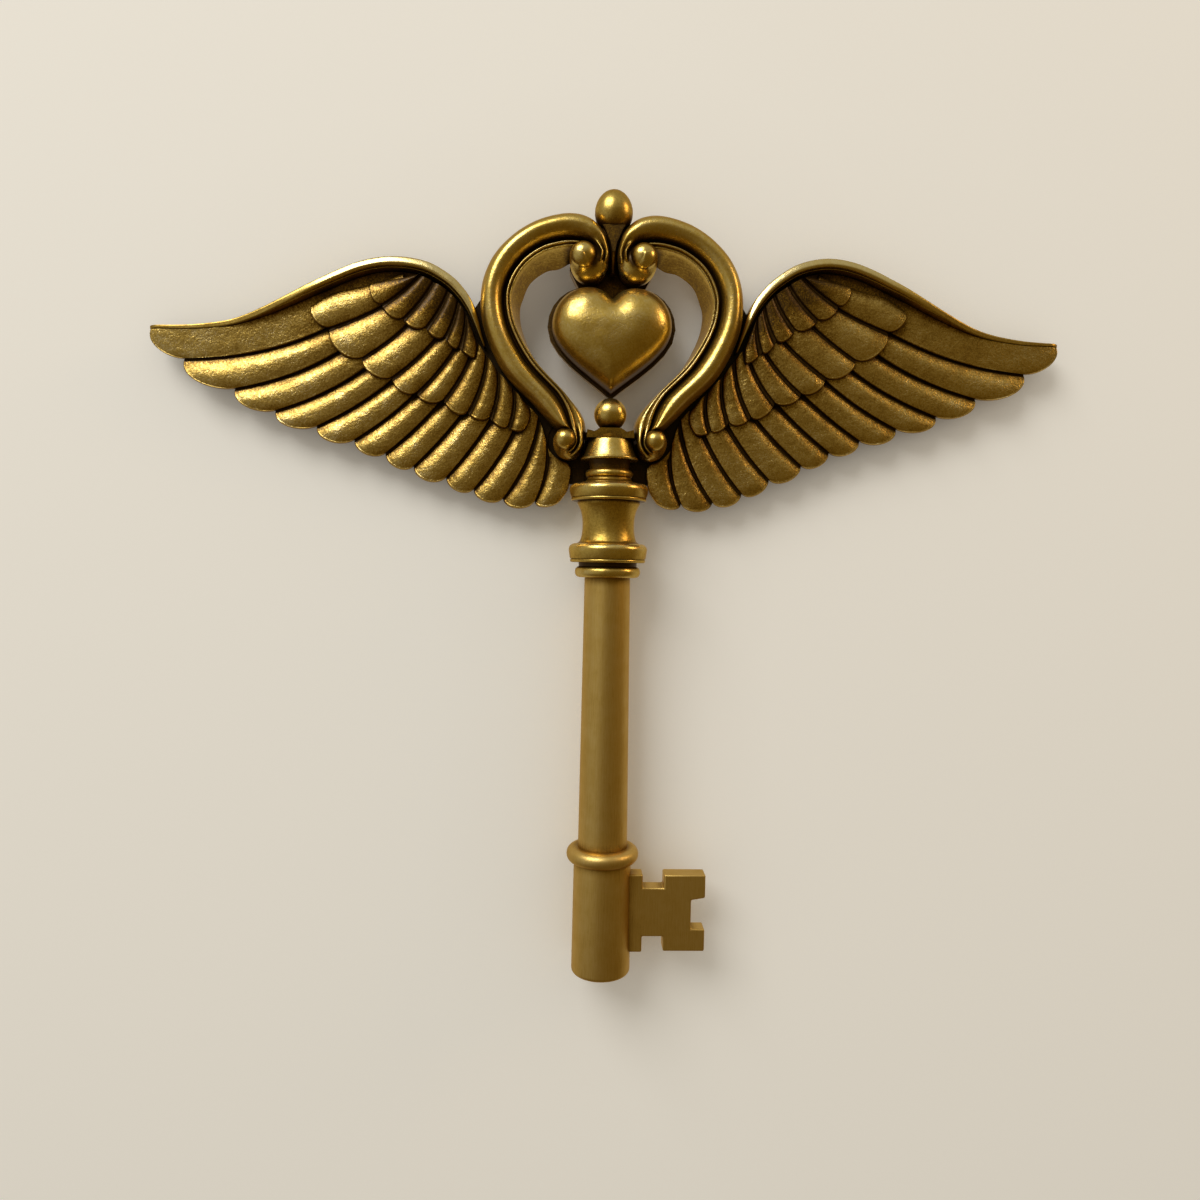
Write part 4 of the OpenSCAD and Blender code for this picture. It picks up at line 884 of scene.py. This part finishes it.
def drawn_to_tip(upper, lower, share, t, angle):
    """A feather's points (x, z) between its two lines, with its end drawn out to a rounded tip."""
    end = lower[-1] - lower[-2]
    end /= np.linalg.norm(end)
    tip = tip_curve(upper[-1], lower[-1], end, angle, share.ravel()).reshape(*share.shape, 2)
    tip -= lerp(upper[-1], lower[-1], share[..., None])
    return lerp(upper[None], lower[None], share[..., None]) + tip * (t ** 3)[None, :, None]


def left_to_tip(flat):
    """The distance that is left to the tip at each point."""
    along = np.cumsum(np.linalg.norm(np.diff(flat, axis=1), axis=-1), 1)
    return np.concatenate([along[:, -1:], along[:, -1:] - along], 1)


def feather(row, i, upper, lower, angle):
    """A rounded blade between a dark channel and a thin lip, as a grid of points with their painted shade
    and highlight.
    """
    against_rim = i == 0 and "contour" not in row
    t = stations(len(upper))
    width = np.maximum(np.linalg.norm(lower - upper, axis=-1), 0.05)
    small = np.minimum(1, width / FULL_W)
    parting = 1 + PARTING * (row["drop"] - 0.3) * t ** 2
    channel = CHANNEL_W * small * parting if i else 0 * small
    start = channel * CHANNEL_PLACES + small * WALL_PLACES
    finish = width - small * EDGE_PLACES
    blade = lerp(start[-1], finish[0], np.linspace(0, 1, row["across"] + 2)[1:-1, None])
    from_upper = np.concatenate([start, blade, finish])
    to_lower, share = width - from_upper, from_upper / width
    flat = drawn_to_tip(upper, lower, share, t, angle)
    to_tip = left_to_tip(flat)
    inset = (np.maximum(to_lower, 1e-3) ** -3.0 + np.maximum(to_tip, 1e-3) ** -3.0) ** (-1 / 3)

    crest = CREST * width
    up = np.clip((from_upper - channel) / (crest - channel), 0, 1)
    down = np.clip(to_lower / (width - crest), 0, 1)
    crown = lerp(SHOULDER, 1, np.sin(up * math.pi / 2)) * (1 - row["drop"] * (1 - down) ** 2)
    wall = rounding(from_upper - channel, WALL_R * small)
    if against_rim:
        crown, wall = 0.96 - 0.3 * share - 0.08 * (1 - down) ** 3, 1 + 0 * wall
    crown = crown * (1 - TIP_FALL * (1 - np.clip(to_tip / (0.5 * width[-1]), 0, 1)) ** 2)
    crown = crown + LIP * small * np.exp(-((inset - LIP_IN) / LIP_W) ** 2)
    edge = rounding(inset, EDGE_R * small)
    height = FLOOR + (crown - FLOOR) * wall * edge

    # Painted shade in the channel, down the lower edge, at the first blade's root, under the feather above,
    # at the roots and on the lower flank; and a painted highlight along the lip
    dark = (1 - wall) + 0.95 * (1 - edge) ** 1.5
    if against_rim:
        dark += 0.5 * (1 - smooth(t / 0.5))
    else:
        dark += 0.66 * np.exp(-np.clip(from_upper - channel, 0, None) / 1.7)
    dark += row["deep"] * (1 - 0.75 * change(t, (0.3, 0.7))) + 0.8 * (row["drop"] - 0.2) * (1 - down) ** 2
    dark -= 0.1 * np.exp(-((inset - LIP_IN) / 0.3) ** 2)
    return at_depth(flat, row["back"] + row["thick"] * height), dark


def feather_row(name, row, side):
    """A row of feathers in one skin with a flat back. along and across are its numbers of points.
    Its feathers run from the line of roots to the notches between their tips, and the row ends at the line
    beside the body. bows and turns say, from the first feather to the last, how the lines between them bow
    and how their tips turn in degrees. The first one lies against the rim, or has a free contour from a knot
    of the rim on. deep says how dark the roots are, and drop how far a feather falls to its lower edge."""
    lines = row_lines(row, stations(row["along"]))
    blocks, shades = [], []
    for i, (upper, lower) in enumerate(zip(lines, lines[1:])):
        angle = math.radians(lerp(*row["turns"], i / (len(lines) - 1)))
        block, dark = feather(row, i, upper, lower, angle)
        blocks.append(block)
        shades.append(dark)
    points, faces, skirt = shell(np.concatenate(blocks), row["back"])
    cast = rough_cast(on_side(points, side), amount=0.11, size=3.4, seed=row["seed"] + side)
    cast = rough_cast(cast, amount=0.05, size=1.5, seed=row["seed"] + 2 * side)
    cast[-skirt:, 1] = -row["back"]
    # The sides down to the flat back are painted dark, as shade
    wax_and_painted_shade = np.concatenate([np.concatenate(shades).clip(-0.3, 1).ravel(), np.full(skirt, 0.9)])
    add_piece(name, set_wing_part(cast, side), faces, "feather", name, wax_and_painted_shade, sharp_deg=75)


# The remaining CAD nodes keep their shape and get a finish

CAD_FINISH = {
    "dark": ["heart_back"],
    "steel": ["heart_screws", "crown_screws", "saddle_screws", "tie_rod", "shank_plug", "bit_pins",
              "left_wing_screws", "right_wing_screws", "hanger_plate", "hanger_screws"],
}


def finish_cad_nodes():
    for finish, names in CAD_FINISH.items():
        for name in names:
            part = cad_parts[name]
            for slot in part.material_slots:
                slot.link = "OBJECT"
                slot.material = MATERIALS[finish]


# Stage, lamps and camera

def softbox(name, light):
    """A soft rectangular lamp that faces the key."""
    lamp = bpy.data.lights.new(name, "AREA")
    lamp.shape = "RECTANGLE"
    lamp.size, lamp.size_y = light["size"]
    lamp.energy = light["watts"]
    lamp.color = light["colour"]
    thing = add_object(name, lamp)
    thing.location = light["at"]
    toward = Vector(LIGHT_TARGET) - Vector(light["at"])
    thing.rotation_euler = toward.to_track_quat("-Z", "Y").to_euler()


def wall():
    """A pale wall behind the key. It takes shadows, glows to the camera with painted shade near the key, and
    is clear from behind.
    """
    corners = [(x * WALL_HALF, WALL_AT, z * WALL_HALF) for x, z in ((-1, -1), (1, -1), (1, 1), (-1, 1))]
    mesh = bpy.data.meshes.new("wall")
    mesh.from_pydata(corners, [], [(0, 1, 2, 3)])
    thing = add_object("wall", mesh)
    material = bpy.data.materials.new("wall_paint")
    tree = new_tree(material)
    paint = node(tree, "BsdfDiffuse", {"Color": (*WALL_PAINT, 1)})
    seen = node(tree, "LightPath").outputs["Is Camera Ray"]
    # The glow is darkened where the key closes the wall in: painted shade round the key
    strength = product(tree, seen, open_share(tree, WALL_SHADE_REACH), WALL_GLOW)
    glow = node(tree, "Emission", {"Color": (*WALL_SHINE, 1), "Strength": strength})
    lit = node(tree, "AddShader", {0: paint.outputs[0], 1: glow.outputs[0]})
    clear = node(tree, "BsdfTransparent")
    behind = node(tree, "NewGeometry").outputs["Backfacing"]
    mixed = node(tree, "MixShader", {0: behind, 1: lit.outputs[0], 2: clear.outputs[0]})
    node(tree, "OutputMaterial", {"Surface": mixed.outputs[0]})
    mesh.materials.append(material)
    thing.visible_diffuse = thing.visible_glossy = thing.visible_shadow = False


def blend(tree, factor, a, b):
    """A mix of two colours, each a colour or a socket."""
    a, b = (c if isinstance(c, bpy.types.NodeSocket) else (*c, 1) for c in (a, b))
    return node(tree, "Mix", {"Factor": factor, "A": a, "B": b}, data_type="RGBA").outputs["Result"]


def room_light():
    """A dim room in front, lighter on the window's side and above. The pale background is there for the
    camera, and in part for what the metal mirrors."""
    world = bpy.data.worlds.new("room")
    bpy.context.scene.world = world
    tree = new_tree(world)
    way = node(tree, "TexCoord").outputs["Generated"]
    parts = node(tree, "SeparateXYZ", {0: way}).outputs

    def toward(axis, start, end):
        return map_range(tree, parts[axis], start, end, kind="SMOOTHSTEP")

    room = blend(tree, toward("X", 0.15, 0.9), ROOM_FRONT, ROOM_RIGHT)
    room = blend(tree, toward("X", -0.1, -0.75), room, ROOM_LEFT)
    room = blend(tree, toward("Z", 0.1, 0.85), room, ROOM_TOP)
    room = blend(tree, toward("Z", -0.15, -0.8), room, ROOM_FLOOR)
    room = blend(tree, toward("Y", -0.1, 0.3), room, ROOM_WALL)
    path = node(tree, "LightPath").outputs
    mirrored = math_node(tree, "MAXIMUM", path["Is Glossy Ray"], path["Is Transmission Ray"])
    mirrored = product(tree, mirrored, toward("Y", 0.1, 0.8), WALL_MIRRORED)
    shown = blend(tree, math_node(tree, "MAXIMUM", path["Is Camera Ray"], mirrored), room, PALE)
    light = node(tree, "Background", {"Color": shown, "Strength": 1.0})
    node(tree, "OutputWorld", {"Surface": light.outputs[0]})


def camera():
    yaw, pitch, roll = (math.radians(a) for a in (CAMERA_YAW, CAMERA_PITCH, CAMERA_ROLL))
    turn = Matrix.Rotation(-yaw, 3, "Z")
    tilt = Matrix.Rotation(-pitch, 3, "X")
    lean = Matrix.Rotation(-roll, 3, "Z")
    level = Matrix(((1, 0, 0), (0, 0, 1), (0, 1, 0)))
    axes = turn @ tilt @ level @ lean
    axes.col[2] = -axes.col[2]
    eye = bpy.data.cameras.new("camera")
    eye.lens, eye.sensor_width = CAMERA_LENS, CAMERA_SENSOR
    eye.clip_start = 0.01
    thing = add_object("camera", eye)
    thing.matrix_world = Matrix.Translation(Vector(CAMERA_AT) * MM) @ axes.to_4x4()
    bpy.context.scene.camera = thing


for word, side in SIDES:
    scroll_band(word, side)
    volute(f"upper_{word}_pearl", UPPER_VOLUTE, side)
    volute(f"lower_{word}_pearl", LOWER_VOLUTE, side)
    rim(word, side)
    wing_plate(word, side)
    for row_name, row in ROWS.items():
        feather_row(f"{word}_{row_name}", row, side)
heart()
crown()
saddle()
finial()
heart_pearl()
cup()
neck()
collar_rings()
baluster()
shank_and_barrel()
bit()
finish_cad_nodes()

wall()
room_light()
softbox("window", WINDOW)
softbox("lamp", LAMP)
camera()
bpy.context.scene.view_settings.view_transform = "Standard"
